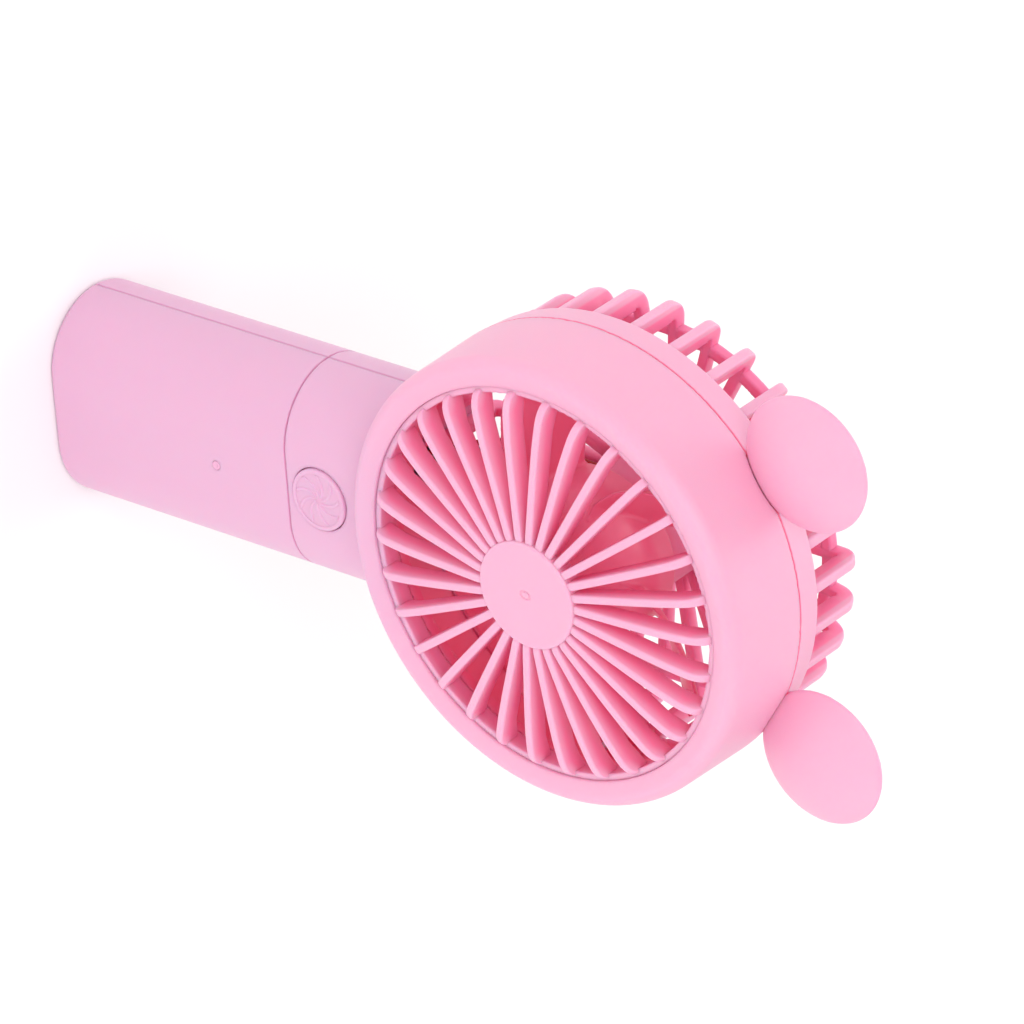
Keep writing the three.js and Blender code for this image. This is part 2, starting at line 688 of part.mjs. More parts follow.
// Wires between the board and the motor, the battery and the charging board.
const motorWire = (x) => wire([
  [x, -8.6, 78.5],
  [x, -4, 82.4],
  [x - 0.4, 1.4, 87],
  [x - 0.6, 7.5, 91.4],
  [x - 0.2, 13.8, 95.6],
  [x + 0.6, 17.8, 103],
  [x + 1.4, 18.8, 112],
  [x + 1.8, 18.8, 120.6],
]);
const chargeWire = (x) => wire([
  [x, 2.2, 71.8],
  [x - 0.4, -3, 72.6],
  [x - 0.6, -8.6, 73],
], 0.5);
add("motor_wire_red", motorWire(-6.4), redSheath);
add("motor_wire_black", motorWire(-4.6), blackSheath);
add("battery_wire_red", wire([[4.2, 1.5, 70.6], [5.4, -2, 72.4], [6.2, -6, 73.4], [6.2, -8.6, 73.8]]),
  redSheath);
add("battery_wire_black", wire([
  [-10.9, -0.6, 4.4],
  [-11.6, -2.6, 8],
  [-11.4, -4, 18],
  [-11.2, -4.4, 34],
  [-9.8, -6.4, 46],
  [-8.8, -8.6, 52],
]), blackSheath);
add("charge_wire_red", chargeWire(-1.2), redSheath);
add("charge_wire_black", chargeWire(-3.4), blackSheath);

export default fan;
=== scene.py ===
# Handheld rechargeable fan: a round head with two ears on a chunky upright handle.
# Sizes are in millimetres as on the drawing, and meshes are written in metres.
import math

import bpy
import numpy as np
from mathutils import Matrix, Vector


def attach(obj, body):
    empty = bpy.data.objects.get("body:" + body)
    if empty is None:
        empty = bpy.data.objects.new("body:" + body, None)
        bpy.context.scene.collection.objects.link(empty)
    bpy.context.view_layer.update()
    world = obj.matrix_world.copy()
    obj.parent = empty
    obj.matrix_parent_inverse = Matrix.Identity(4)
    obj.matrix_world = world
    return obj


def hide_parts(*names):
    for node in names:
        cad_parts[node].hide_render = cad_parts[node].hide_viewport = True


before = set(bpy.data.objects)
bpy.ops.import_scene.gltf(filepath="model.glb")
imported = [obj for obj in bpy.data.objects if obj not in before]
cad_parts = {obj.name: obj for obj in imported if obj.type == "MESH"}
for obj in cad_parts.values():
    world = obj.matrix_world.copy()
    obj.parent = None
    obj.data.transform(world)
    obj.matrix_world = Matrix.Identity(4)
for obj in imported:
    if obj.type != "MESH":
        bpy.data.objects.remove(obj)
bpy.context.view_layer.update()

# ---- Table, backdrop, light and camera -------------------------------------------------
# The fan stands on its foot on a pale seamless table under soft studio light.
# The camera looks down at its front from the left with a long lens, rolled on its side.
MM = 0.001
CAMERA_PLACE = (-762.3, -1077.1, 1038.5)
CAMERA_RIGHT = (0.06453165, 0.62476366, 0.77814268)
CAMERA_UP = (-0.87912485, 0.40456935, -0.25191891)
CAMERA_BACK = (-0.47220246, -0.66782782, 0.57535279)
CAMERA_LENS = 280.9
TABLE_SIZE = 14.0
ROOM_COLOUR = (1.0, 0.995, 0.99, 1)
ROOM_LIGHT = 0.82

view_axes = Matrix((CAMERA_RIGHT, CAMERA_UP, CAMERA_BACK)).transposed().to_4x4()
camera = bpy.data.objects.new("camera", bpy.data.cameras.new("camera"))
camera.data.sensor_width = 36
camera.data.lens = CAMERA_LENS
camera.data.clip_start = 0.05
camera.data.clip_end = 40
camera.matrix_world = Matrix.Translation([c * MM for c in CAMERA_PLACE]) @ view_axes
bpy.context.collection.objects.link(camera)
bpy.context.scene.camera = camera
bpy.context.scene.view_settings.view_transform = "Standard"


class Value:
    """A socket of a material that Python's own operators can work on."""

    def __init__(self, finish, socket):
        self.finish = finish
        self.socket = socket

    def worked(self, operation, *parts, clamp=False):
        settings = {"operation": operation, "use_clamp": clamp}
        return self.finish.node("ShaderNodeMath", settings, dict(enumerate(parts)))

    def __add__(self, other):
        return self.worked("ADD", self, other)

    def __sub__(self, other):
        return self.worked("SUBTRACT", self, other)

    def __rsub__(self, other):
        return self.worked("SUBTRACT", other, self)

    def __mul__(self, other):
        return self.worked("MULTIPLY", self, other)

    def __truediv__(self, other):
        return self.worked("DIVIDE", self, other)

    __radd__ = __add__
    __rmul__ = __mul__

    def worked_alone(self, operation):
        return self.worked(operation, self)

    def clamped(self):
        return self.worked("ADD", self, 0.0, clamp=True)

    def ramp(self, start, end):
        """0 at the start and 1 at the end, which may lie below the start."""
        return ((self - start) / (end - start)).clamped()


class Finish:
    """A material under construction, with the object's own coordinates at hand."""

    def __init__(self, name):
        self.material = bpy.data.materials.new(name)
        self.material.use_nodes = True
        self.tree = self.material.node_tree
        self.shader = self.tree.nodes["Principled BSDF"]
        self.place = self.node("ShaderNodeTexCoord", {}, {}, "Object")

    def node(self, kind, settings, sockets, output=0):
        made = self.tree.nodes.new(kind)
        for key, value in settings.items():
            setattr(made, key, value)
        for key, value in sockets.items():
            self.feed(made.inputs[key], value)
        return Value(self, made.outputs[output])

    def feed(self, socket, value):
        if isinstance(value, Value):
            self.tree.links.new(value.socket, socket)
        else:
            socket.default_value = value

    def set(self, **sockets):
        for key, value in sockets.items():
            self.feed(self.shader.inputs[key.replace("_", " ")], value)
        return self.material

    def noise(self, scale, detail=2.0, roughness=0.5, at=None):
        sockets = {"Vector": at or self.place, "Scale": scale, "Detail": detail,
                   "Roughness": roughness}
        return self.node("ShaderNodeTexNoise", {}, sockets, "Fac")

    def tint(self, factor, first, second):
        """From the first colour to the second; a Mix node has them at sockets 6 and 7."""
        first, second = ((*c, 1) if isinstance(c, tuple) else c for c in (first, second))
        return self.node("ShaderNodeMix", {"data_type": "RGBA"}, {0: factor, 6: first, 7: second}, 2)

    def part_of_place(self, axis):
        return self.node("ShaderNodeSeparateXYZ", {}, {0: self.place}, axis)

    def bump(self, height, depth, strength=1.0):
        sockets = {"Height": height, "Distance": depth, "Strength": strength}
        return self.node("ShaderNodeBump", {}, sockets, "Normal")


def linear(red, green, blue):
    """A colour given as it looks on a screen, 0 to 255, in the linear values of a shader."""
    shares = (c / 255 for c in (red, green, blue))
    return tuple(s / 12.92 if s <= 0.04045 else ((s + 0.055) / 1.055) ** 2.4 for s in shares)


def mesh_object(name, points, faces, material, smooth=True):
    """A mesh piece from points in millimetres, closed and facing outwards."""
    mesh = bpy.data.meshes.new(name)
    mesh.from_pydata((np.asarray(points, float) * MM).tolist(), [], faces)
    mesh.materials.append(material)
    if smooth:
        mesh.shade_smooth()
    mesh.update()
    piece = bpy.data.objects.new(name, mesh)
    bpy.context.collection.objects.link(piece)
    return piece


table_finish = Finish("table_white")
table_paper = table_finish.set(
    Base_Color=table_finish.tint(table_finish.noise(3.0), (0.95, 0.95, 0.95), (0.97, 0.97, 0.97)),
    Roughness=0.75, Specular_IOR_Level=0.2)
half = TABLE_SIZE / 2 / MM
table = mesh_object("table", [(-half, -half, 0), (half, -half, 0), (half, half, 0), (-half, half, 0)],
                    [(0, 1, 2, 3)], table_paper)

world = bpy.data.worlds.new("studio")
bpy.context.scene.world = world
world.use_nodes = True
world.node_tree.nodes["Background"].inputs["Color"].default_value = ROOM_COLOUR
world.node_tree.nodes["Background"].inputs["Strength"].default_value = ROOM_LIGHT


def softbox(name, place, aim, width, height, power):
    """A rectangular light; its places and sizes are in metres and its power in watts."""
    light = bpy.data.objects.new(name, bpy.data.lights.new(name, "AREA"))
    light.data.shape = "RECTANGLE"
    light.data.size = width
    light.data.size_y = height
    light.data.energy = power
    turn = (Vector(place) - Vector(aim)).to_track_quat("Z", "Y")
    light.matrix_world = Matrix.Translation(place) @ turn.to_matrix().to_4x4()
    bpy.context.collection.objects.link(light)


softbox("key_light", (-0.9, -1.2, 1.7), (0, 0, 0.12), 1.4, 1.4, 15)
softbox("front_light", (-0.35, -1.7, 0.65), (0, 0, 0.13), 1.0, 0.8, 1.5)
softbox("fill_light", (1.5, -0.9, 0.8), (0, 0, 0.12), 1.2, 1.2, 5)
softbox("back_light", (-0.1, 1.4, 1.0), (0, 0, 0.14), 1.2, 1.0, 6)


# ---- Head housing, front half ----------------------------------------------------------
# Injection-moulded pink ABS with a satin skin: the bezel, the drum's front half and the
# front of the neck in one moulding. Screws from behind pull it onto the rear half.
HEAD_Z = 134.0
HEAD_R = 49.4
HEAD_TAPER = 0.0225
BEZEL_APEX_R = 45.6
BEZEL_APEX_Y = -21.2
BEZEL_ROUNDING = 3.4
BEZEL_APEX_ROUNDING = 1.2
BEZEL_BACK_Y = -12.6
BEZEL_FALL = 0.40
GRILLE_SEAT_R = 43.0
GRILLE_SEAT_Y = -15.1
GRILLE_BORE_R = 41.7
DRUM_BORE_R = 46.9
SECTION_STRAIGHT = 7.7
SECTION_R = 15.7
NECK_Z = 64.2
NECK_TOP_Z = 100.0
NECK_FILLET = 2.4
NECK_ROOM_END_R = 49.0
WIRE_HOLE_MIDDLE = (-5.7, 1.0, 86.0)
WIRE_HOLE_HALF = (3.3, 3.5, 4.0)
TONGUE_INSET = 3.0
TONGUE_HALF_WALL = 0.7
TONGUE_MIDDLE_Z = 61.5
TONGUE_HALF_HEIGHT = 4.5
WALL = 2.0
SEAM = 0.13
SEAM_BOTTOM = 0.02
EDGE = 0.24
EAR_X = 32.9
EAR_Z = 186.7
EAR_EDGE_R = 15.25
EAR_RIM_Y = 0.4
EAR_FRONT_BULGE = 5.5
EAR_REAR_BULGE = 3.6
EAR_ROUNDING = 1.2
BUTTON_Z = 72.8
BUTTON_HOLE_R = 7.08
FRONT_HOLE_END_Y = -8.0
BOSS_R = 3.4
BOSS_INSET = 1.0
NECK_SCREWS = [(-16.5, 78.0), (16.5, 78.0)]
HEAD_SCREWS = [(-44.6, 134.0), (44.6, 134.0)]


def rounded_cut(a, b, radius):
    """What two fields have in common, with its edge rounded."""
    reach = np.hypot(np.maximum(a + radius, 0), np.maximum(b + radius, 0))
    return np.minimum(np.maximum(a, b), -radius) + reach


def filleted(a, b, radius):
    """Two fields joined, with a fillet in the corner."""
    return -rounded_cut(-a, -b, radius)


def seam(depth):
    """Half of the gap where two mouldings meet: open at the skin, nearly shut further in."""
    return SEAM_BOTTOM + (SEAM - SEAM_BOTTOM) * np.clip(1.6 - 1.8 * depth, 0, 1)


def axis_distance(p):
    return np.hypot(p[:, 0], p[:, 2] - HEAD_Z)


def pillar(p, x, z, radius):
    """An endless round bar along Y."""
    return np.hypot(p[:, 0] - x, p[:, 2] - z) - radius


def block(p, middle, half_sizes):
    """A block with sharp edges."""
    return (np.abs(p - middle) - half_sizes).max(axis=1)


def handle_section(p):
    return np.hypot(np.maximum(np.abs(p[:, 0]) - SECTION_STRAIGHT, 0), p[:, 1]) - SECTION_R


def ear_field(p):
    """Both ears: a lens between two spheres, more domed in front than behind."""
    flat = np.hypot(np.abs(p[:, 0]) - EAR_X, p[:, 2] - EAR_Z)
    y = p[:, 1] - EAR_RIM_Y
    front_r = (EAR_EDGE_R**2 + EAR_FRONT_BULGE**2) / (2 * EAR_FRONT_BULGE)
    rear_r = (EAR_EDGE_R**2 + EAR_REAR_BULGE**2) / (2 * EAR_REAR_BULGE)
    front = np.hypot(flat, y - (front_r - EAR_FRONT_BULGE)) - front_r
    rear = np.hypot(flat, y + (rear_r - EAR_REAR_BULGE)) - rear_r
    return rounded_cut(front, rear, EAR_ROUNDING)


def drum_outside(p):
    rho = axis_distance(p)
    side = rho - HEAD_R - HEAD_TAPER * np.minimum(p[:, 1], 0)
    face = BEZEL_APEX_Y - p[:, 1]
    fall = face + (BEZEL_APEX_R - rho) * BEZEL_FALL
    return rounded_cut(rounded_cut(fall, face, BEZEL_APEX_ROUNDING), side, BEZEL_ROUNDING)


def drum_inside(p):
    rho = axis_distance(p)
    wide = np.maximum(rho - DRUM_BORE_R, BEZEL_BACK_Y - p[:, 1])
    seat = np.maximum(rho - GRILLE_SEAT_R, p[:, 1] - GRILLE_SEAT_Y)
    return np.minimum(np.minimum(wide, seat), rho - GRILLE_BORE_R)


def neck_outside(p):
    section = handle_section(p)
    neck = rounded_cut(section, NECK_Z + seam(-section) - p[:, 2], EDGE)
    return np.maximum(neck, p[:, 2] - NECK_TOP_Z)


def neck_inside(p):
    """The room in the neck, under the drum, and the hole through the drum for the wires."""
    room = np.maximum(handle_section(p) + WALL, NECK_ROOM_END_R - axis_distance(p))
    room = np.maximum(np.maximum(room, NECK_Z - 2 - p[:, 2]), p[:, 2] - NECK_TOP_Z)
    return np.minimum(room, block(p, WIRE_HOLE_MIDDLE, WIRE_HOLE_HALF))


def tongue_field(p):
    """The thin wall under the neck that the handle's top slides over."""
    wall = np.abs(handle_section(p) + TONGUE_INSET) - TONGUE_HALF_WALL
    return np.maximum(wall, np.abs(p[:, 2] - TONGUE_MIDDLE_Z) - TONGUE_HALF_HEIGHT)


def pillars(p, places, radius):
    return np.minimum.reduce([pillar(p, x, z, radius) for x, z in places])


def neck_bosses(p):
    return np.maximum(pillars(p, NECK_SCREWS, BOSS_R), handle_section(p) + BOSS_INSET)


def gradient(field, p, step=0.01):
    moves = np.eye(3) * step
    return np.stack([field(p + m) - field(p - m) for m in moves], axis=1) / (2 * step)


def unit(vectors):
    return vectors / np.maximum(np.linalg.norm(vectors, axis=1), 1e-9)[:, None]


def settled(field, p, rounds):
    """Points moved onto the surface of a field."""
    for _ in range(rounds):
        g = gradient(field, p)
        p = p - g * (field(p) / np.maximum((g * g).sum(1), 0.05))[:, None]
    return p


# The axes and corners of a grid cell, and how many cells make the side of a group.
AXES = np.eye(3, dtype=int)
CUBE = np.indices((2, 2, 2)).reshape(3, -1).T
GROUP = 4


def sampled(field, low, counts, cell):
    """The field on a grid, in groups of cells that are worked out only near its surface."""
    groups = np.indices(counts // GROUP).reshape(3, -1).T
    rough = field(low + cell * (groups * GROUP + (GROUP - 1) / 2))
    near = np.abs(rough) < cell * GROUP * 1.35
    values = np.where(rough > 0, 1e3, -1e3).reshape(tuple(counts // GROUP))
    for axis in range(3):
        values = values.repeat(GROUP, axis)
    inner = np.indices((GROUP,) * 3).reshape(3, -1).T
    places = (groups[near][:, None] * GROUP + inner).reshape(-1, 3)
    values[tuple(places.T)] = field(low + cell * places)
    return values


def crossed_cells(values, span):
    """The cells that the surface passes through, and a grid of their numbers."""
    inside_count = np.zeros(tuple(span), np.int8)
    for c in CUBE:
        inside_count += values[c[0]:c[0] + span[0], c[1]:c[1] + span[1], c[2]:c[2] + span[2]] < 0
    cells = np.argwhere((inside_count > 0) & (inside_count < 8))
    number = -np.ones(tuple(span), np.int64)
    number[tuple(cells.T)] = np.arange(len(cells))
    return cells, number


def cell_points(field, values, cells, low, cell):
    """A point in each cell, drawn onto the edge or corner where the surface has one."""
    total = np.zeros((len(cells), 3))
    hits = np.zeros(len(cells))
    spread = np.zeros((len(cells), 3, 3))
    pull = np.zeros((len(cells), 3))
    for a in CUBE:
        for step in AXES[a == 0]:
            va = values[tuple((cells + a).T)]
            vb = values[tuple((cells + a + step).T)]
            rows = np.flatnonzero((va < 0) != (vb < 0))
            share = va[rows] / (va[rows] - vb[rows])
            place = low + cell * (cells[rows] + a + share[:, None] * step)
            facing = unit(gradient(field, place))
            total[rows] += place
            hits[rows] += 1
            spread[rows] += facing[:, :, None] * facing[:, None, :]
            pull[rows] += facing * (facing * place).sum(1)[:, None]
    points = total / hits[:, None]
    size, way = np.linalg.eigh(spread)
    kept = size > 0.12 * size[:, 2:]
    shares = np.where(kept, 1 / np.maximum(size, 1e-9), 0)
    solved = (way * shares[:, None, :]) @ way.transpose(0, 2, 1)
    lean = (solved @ (pull - (spread @ points[:, :, None])[:, :, 0])[:, :, None])[:, :, 0]
    edge = kept.sum(1)[:, None] > 1
    return points + np.where(edge, np.clip(lean, -0.6 * cell, 0.6 * cell), 0), edge


def cell_faces(values, number, span):
    """A four-sided face, outwards, across each grid line that the surface cuts."""
    faces = []
    here = values[1:span[0], 1:span[1], 1:span[2]] < 0
    for axis in range(3):
        step, u, v = AXES[axis], AXES[(axis + 1) % 3], AXES[(axis + 2) % 3]
        there = values[1 + step[0]:span[0] + step[0], 1 + step[1]:span[1] + step[1],
                       1 + step[2]:span[2] + step[2]] < 0
        for mask, flip in ((here & ~there, False), (~here & there, True)):
            nodes = np.argwhere(mask) + 1
            ring = [nodes - u - v, nodes - v, nodes, nodes - u]
            quads = np.stack([number[tuple(r.T)] for r in ring], axis=1)
            faces.append(quads[:, ::-1] if flip else quads)
    quads = np.concatenate(faces)
    return quads[(quads >= 0).all(1)]


def eased(field, points, quads, edge):
    """Points spread evenly over the surface, apart from those on its edges."""
    ends = np.concatenate([quads[:, [i, (i + 1) % 4]] for i in range(4)])
    count = np.maximum(np.bincount(ends[:, 0], minlength=len(points)), 1)[:, None]
    for _ in range(4):
        mean = np.stack([np.bincount(ends[:, 0], points[ends[:, 1], i], len(points))
                         for i in range(3)], axis=1) / count
        points = np.where(edge, points, settled(field, points * 0.5 + mean * 0.5, 1))
    return np.where(edge, points, settled(field, points, 2))


def moulded(name, field, low, high, cell, material):
    """A closed piece: the surface where a field is 0, negative inside; its edges stay crisp."""
    low = np.array(low, float)
    counts = (np.ceil((np.array(high) - low) / cell / GROUP).astype(int) + 1) * GROUP
    values = sampled(field, low, counts, cell)
    cells, number = crossed_cells(values, counts - 1)
    points, edge = cell_points(field, values, cells, low, cell)
    quads = cell_faces(values, number, counts - 1)
    points = eased(field, points, quads, edge)
    points[:, 2] = np.maximum(points[:, 2], 0)
    piece = mesh_object(name, points, quads.tolist(), material)
    piece.data.normals_split_custom_set_from_vertices(unit(gradient(field, points)).tolist())
    return piece


def front_housing_field(p):
    outside = filleted(drum_outside(p), neck_outside(p), NECK_FILLET)
    hollow = np.minimum(drum_inside(p), neck_inside(p))
    body = rounded_cut(outside, -hollow, EDGE)
    body = np.minimum.reduce([body, neck_bosses(p), tongue_field(p)])
    button_hole = np.maximum(pillar(p, 0, BUTTON_Z, BUTTON_HOLE_R), p[:, 1] - FRONT_HOLE_END_Y)
    body = rounded_cut(body, -button_hole, EDGE)
    body = rounded_cut(body, seam(-outside) - ear_field(p), EDGE)
    return rounded_cut(body, p[:, 1] + seam(-outside), EDGE)


def shaded(colour, red, green, blue):
    return colour[0] * red, colour[1] * green, colour[2] * blue


def pink_plastic(name, head_colour, neck_colour, roughness):
    """Satin ABS, slightly see-through, with painted shade: a deeper, redder pink inside the drum and
    between the ribs, and a darker pink along the seams.

    Places in it are in metres, as the object's own coordinates are.
    """
    made = Finish(name)
    drift = made.noise(34.0, 3.0)
    x, y, z = (made.part_of_place(axis) for axis in "XYZ")
    height = z.ramp(0.088, 0.104)
    face = made.tint(height, neck_colour, head_colour)
    up = z - HEAD_Z * MM
    rho = (x * x + up * up).worked_alone("SQRT")
    # Painted shade inside the drum and between the ribs: the further a point lies behind the ribs' front
    # edges, the deeper and redder its pink, standing in for shade and bounced pink light.
    rib_front = rho.worked("MAXIMUM", rho, 0.0118) * 0.086 - 0.0257
    shoulder = (rho - 0.0385) * 0.85 - 0.0226
    sunk = y - rib_front.worked("MAXIMUM", rib_front, shoulder)
    behind = y.ramp(0.004, 0.007)
    within = ((0.0474 - behind * 0.0011 - rho) / 0.0006).clamped()
    painted_shade_mask = (sunk / 0.0022).clamped() * within * y.ramp(0.0238, 0.0223)
    # The painted shade colours: redder between the ribs, and redder still further into the drum.
    between = shaded(head_colour, 1.13, 0.60, 0.78)
    inner = shaded(head_colour, 1.13, 0.36, 0.52)
    deepest_shade_share = y.ramp(-0.0165, -0.0135) * y.ramp(0.006, 0.002)
    colour = made.tint(painted_shade_mask, face, made.tint(deepest_shade_share, between, inner))
    cloudy = made.tint(drift.ramp(0.5, 1.0) * 0.3, colour, shaded(head_colour, 0.93, 0.93, 0.93))
    # Painted shade in the seams: a darker pink along the gaps where the front and rear halves meet and
    # where the neck meets the handle, kept off the ears.
    beside_y = (0.00034 - y.worked_alone("ABSOLUTE")) / 0.0002
    beside_z = (0.00034 - (z - NECK_Z * MM).worked_alone("ABSOLUTE")) / 0.0002
    off_ears = (rho.worked("LESS_THAN", rho, 0.0497) + z.worked("LESS_THAN", z, 0.15)).clamped()
    seam_shade_mask = beside_y.worked("MAXIMUM", beside_y, beside_z).clamped() * off_ears
    painted_seam_shade = made.tint(height, shaded(neck_colour, 0.95, 0.72, 0.82), inner)
    colour = made.tint(seam_shade_mask, made.tint(painted_shade_mask, cloudy, colour), painted_seam_shade)
    skin = made.noise(3200, 3.0, 0.6)
    patch = made.noise(90.0, 2.0)
    made.set(Subsurface_Weight=0.4, Subsurface_Radius=(1.0, 0.25, 0.42), Subsurface_Scale=0.0035)
    return made.set(Base_Color=colour,
                    Roughness=patch * 0.10 + skin * 0.08 + (roughness - 0.09),
                    Normal=made.bump(skin, 0.00003, 0.5), Specular_IOR_Level=0.42)


HEAD_PINK = linear(241, 175, 203)
HANDLE_PINK = linear(228, 176, 206)
head_pink = pink_plastic("head_plastic", HEAD_PINK, HANDLE_PINK, 0.42)
front_housing = moulded("front_housing_shell", front_housing_field, (-51, -22.5, 56), (51, 1.2, 186),
                        0.5, head_pink)
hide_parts("front_housing")
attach(front_housing, "housing")


# ---- Head housing, rear half -----------------------------------------------------------
# One moulding in the same ABS: the drum's rear band with both ears, the rear of the neck,
# and the screw bosses. The charging socket opens through the neck's back.
BAND_TAPER = 0.09
BAND_BACK_Y = 7.0
BAND_BORE_R = 46.5
BAND_ROUNDING = 1.2
HEAD_BOSS_END_R = 48.0
SCREW_SEAT_Y = 8.9
HEAD_SEAT_Y = 5.2
COUNTERBORE_R = 2.6
SOCKET_Z = 74.0
SOCKET_SLOT_R = 1.7
SOCKET_SLOT_REACH = 2.6
SOCKET_SLOT_START_Y = 12.0


def rear_housing_field(p):
    x, y, z = p.T
    rho = axis_distance(p)
    band = rounded_cut(rho - HEAD_R + BAND_TAPER * np.maximum(y, 0), y - BAND_BACK_Y, BAND_ROUNDING)
    outside = filleted(band, neck_outside(p), 1.5)
    body = rounded_cut(outside, seam(-outside) - y, EDGE)
    body = filleted(body, ear_field(p), np.interp(y, [0.5, 3.0], [0.05, 1.2]))
    body = rounded_cut(body, -np.minimum(rho - BAND_BORE_R, neck_inside(p)), EDGE)
    head_bosses = np.maximum(pillars(p, HEAD_SCREWS, BOSS_R), y - BAND_BACK_Y + 0.2)
    head_bosses = np.maximum(head_bosses, rho - HEAD_BOSS_END_R)
    inner = np.minimum.reduce([tongue_field(p), neck_bosses(p), head_bosses])
    body = np.minimum(body, np.maximum(inner, SEAM - y))
    neck_holes = np.maximum(pillars(p, NECK_SCREWS, COUNTERBORE_R), SCREW_SEAT_Y - y)
    head_holes = np.maximum(pillars(p, HEAD_SCREWS, COUNTERBORE_R), HEAD_SEAT_Y - y)
    slot = np.hypot(np.maximum(np.abs(x) - SOCKET_SLOT_REACH, 0), z - SOCKET_Z) - SOCKET_SLOT_R
    holes = np.minimum.reduce([neck_holes, head_holes, np.maximum(slot, SOCKET_SLOT_START_Y - y)])
    return rounded_cut(body, -holes, EDGE)


rear_housing = moulded("rear_housing_shell", rear_housing_field, (-51, -6, 56), (51, 17, 203), 0.5,
                       head_pink)
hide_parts("rear_housing")
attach(rear_housing, "housing")


# ---- Rear hub and tie ring -------------------------------------------------------------
# The middle of the rear moulding: a plate with a cup that holds the motor, and a thin ring
# that ties the ribs together near the corner. Two screws from behind hold the motor.
HUB_PLATE_R = 16.0
HUB_PLATE_MIDDLE_Y = 22.6
HUB_PLATE_HALF = 1.8
CUP_MIDDLE_R = 13.3
CUP_HALF_WALL = 0.9
CUP_FRONT_Y = 2.0
CUP_WINDOW_MIDDLE = (-3.0, 17.1, 121.5)
CUP_WINDOW_HALF = (5.0, 3.6, 3.5)
MOTOR_SHANK_R = 1.0
MOTOR_HEAD_R = 2.2
MOTOR_SCREWS = [(0.0, 127.5), (0.0, 140.5)]
MOTOR_SEAT_Y = 22.4
TIE_MIDDLE_R = 40.2
TIE_MIDDLE_Y = 21.9
TIE_HALF = 1.3


def rear_hub_field(p):
    y = p[:, 1]
    rho = axis_distance(p)
    plate = rounded_cut(rho - HUB_PLATE_R, np.abs(y - HUB_PLATE_MIDDLE_Y) - HUB_PLATE_HALF, 0.8)
    cup = rounded_cut(np.abs(rho - CUP_MIDDLE_R) - CUP_HALF_WALL, CUP_FRONT_Y - y, 0.4)
    body = filleted(plate, np.maximum(cup, y - 22), 0.8)
    window = block(p, CUP_WINDOW_MIDDLE, CUP_WINDOW_HALF)
    shanks = pillars(p, MOTOR_SCREWS, MOTOR_SHANK_R)
    heads = np.maximum(pillars(p, MOTOR_SCREWS, MOTOR_HEAD_R), MOTOR_SEAT_Y - y)
    body = rounded_cut(body, -np.minimum.reduce([window, shanks, heads]), 0.2)
    tie = rounded_cut(np.abs(rho - TIE_MIDDLE_R) - TIE_HALF, np.abs(y - TIE_MIDDLE_Y) - TIE_HALF, 0.5)
    return np.minimum(body, tie)


rear_hub = moulded("rear_hub_and_tie", rear_hub_field, (-42.5, 1, 91.5), (42.5, 25.2, 176.5), 0.5,
                   head_pink)
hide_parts("rear_housing")
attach(rear_hub, "housing")


# ---- Rear ribs -------------------------------------------------------------------------
# Thirty round-nosed bars of the same moulding: each leaves the band's edge, bends over the
# corner and runs in to the hub plate. One bar is drawn and set round the fan's axis.
RIB_COUNT = 30
REAR_RIB_R = 47.6
REAR_FACE_Y = 23.5
REAR_BEND_R = 4.5
REAR_RIB_HALF_WIDTH = 1.15
REAR_RIB_DEPTH = 4.3
REAR_BEND_STEPS = 12
wheel = bpy.data.node_groups.new("bars_round_axis", "GeometryNodeTree")


def tree_socket(tree, name, kind, way="INPUT"):
    return tree.interface.new_socket(name, in_out=way, socket_type="NodeSocket" + kind).identifier


def tree_node(tree, kind, settings, sockets):
    """A node of a geometry tree; its sockets take values, or outputs of other nodes."""
    made = tree.nodes.new(kind)
    for key, value in settings.items():
        setattr(made, key, value)
    for key, value in sockets.items():
        if isinstance(value, bpy.types.NodeSocket):
            tree.links.new(value, made.inputs[key])
        else:
            made.inputs[key].default_value = value
    return made


wheel_inputs = {name: tree_socket(wheel, name, kind) for name, kind in (
    ("Bar", "Geometry"), ("Bars", "Int"), ("Axis height", "Float"), ("Plastic", "Material"))}
tree_socket(wheel, "Bars", "Geometry", "OUTPUT")
wheel_in = tree_node(wheel, "NodeGroupInput", {}, {})
hub_place = tree_node(wheel, "ShaderNodeCombineXYZ", {}, {"Z": wheel_in.outputs["Axis height"]})
hub_drop = tree_node(wheel, "ShaderNodeVectorMath", {"operation": "SCALE"},
                     {"Vector": hub_place.outputs[0], "Scale": -1.0})
bar_at_hub = tree_node(wheel, "GeometryNodeTransform", {},
                       {"Geometry": wheel_in.outputs["Bar"], "Translation": hub_drop.outputs[0]})
places = tree_node(wheel, "GeometryNodePoints", {},
                   {"Count": wheel_in.outputs["Bars"], "Position": hub_place.outputs[0]})
index = tree_node(wheel, "GeometryNodeInputIndex", {}, {})
share = tree_node(wheel, "ShaderNodeMath", {"operation": "DIVIDE"},
                  {0: index.outputs[0], 1: wheel_in.outputs["Bars"]})
angle = tree_node(wheel, "ShaderNodeMath", {"operation": "MULTIPLY"}, {0: share.outputs[0], 1: math.tau})
turn = tree_node(wheel, "ShaderNodeCombineXYZ", {}, {"Y": angle.outputs[0]})
bars = tree_node(wheel, "GeometryNodeInstanceOnPoints", {},
                 {"Points": places.outputs[0], "Instance": bar_at_hub.outputs[0],
                  "Rotation": turn.outputs[0]})
real_bars = tree_node(wheel, "GeometryNodeRealizeInstances", {}, {0: bars.outputs[0]})
coated_bars = tree_node(wheel, "GeometryNodeSetMaterial", {},
                        {"Geometry": real_bars.outputs[0], "Material": wheel_in.outputs["Plastic"]})
tree_node(wheel, "NodeGroupOutput", {}, {0: coated_bars.outputs[0]})


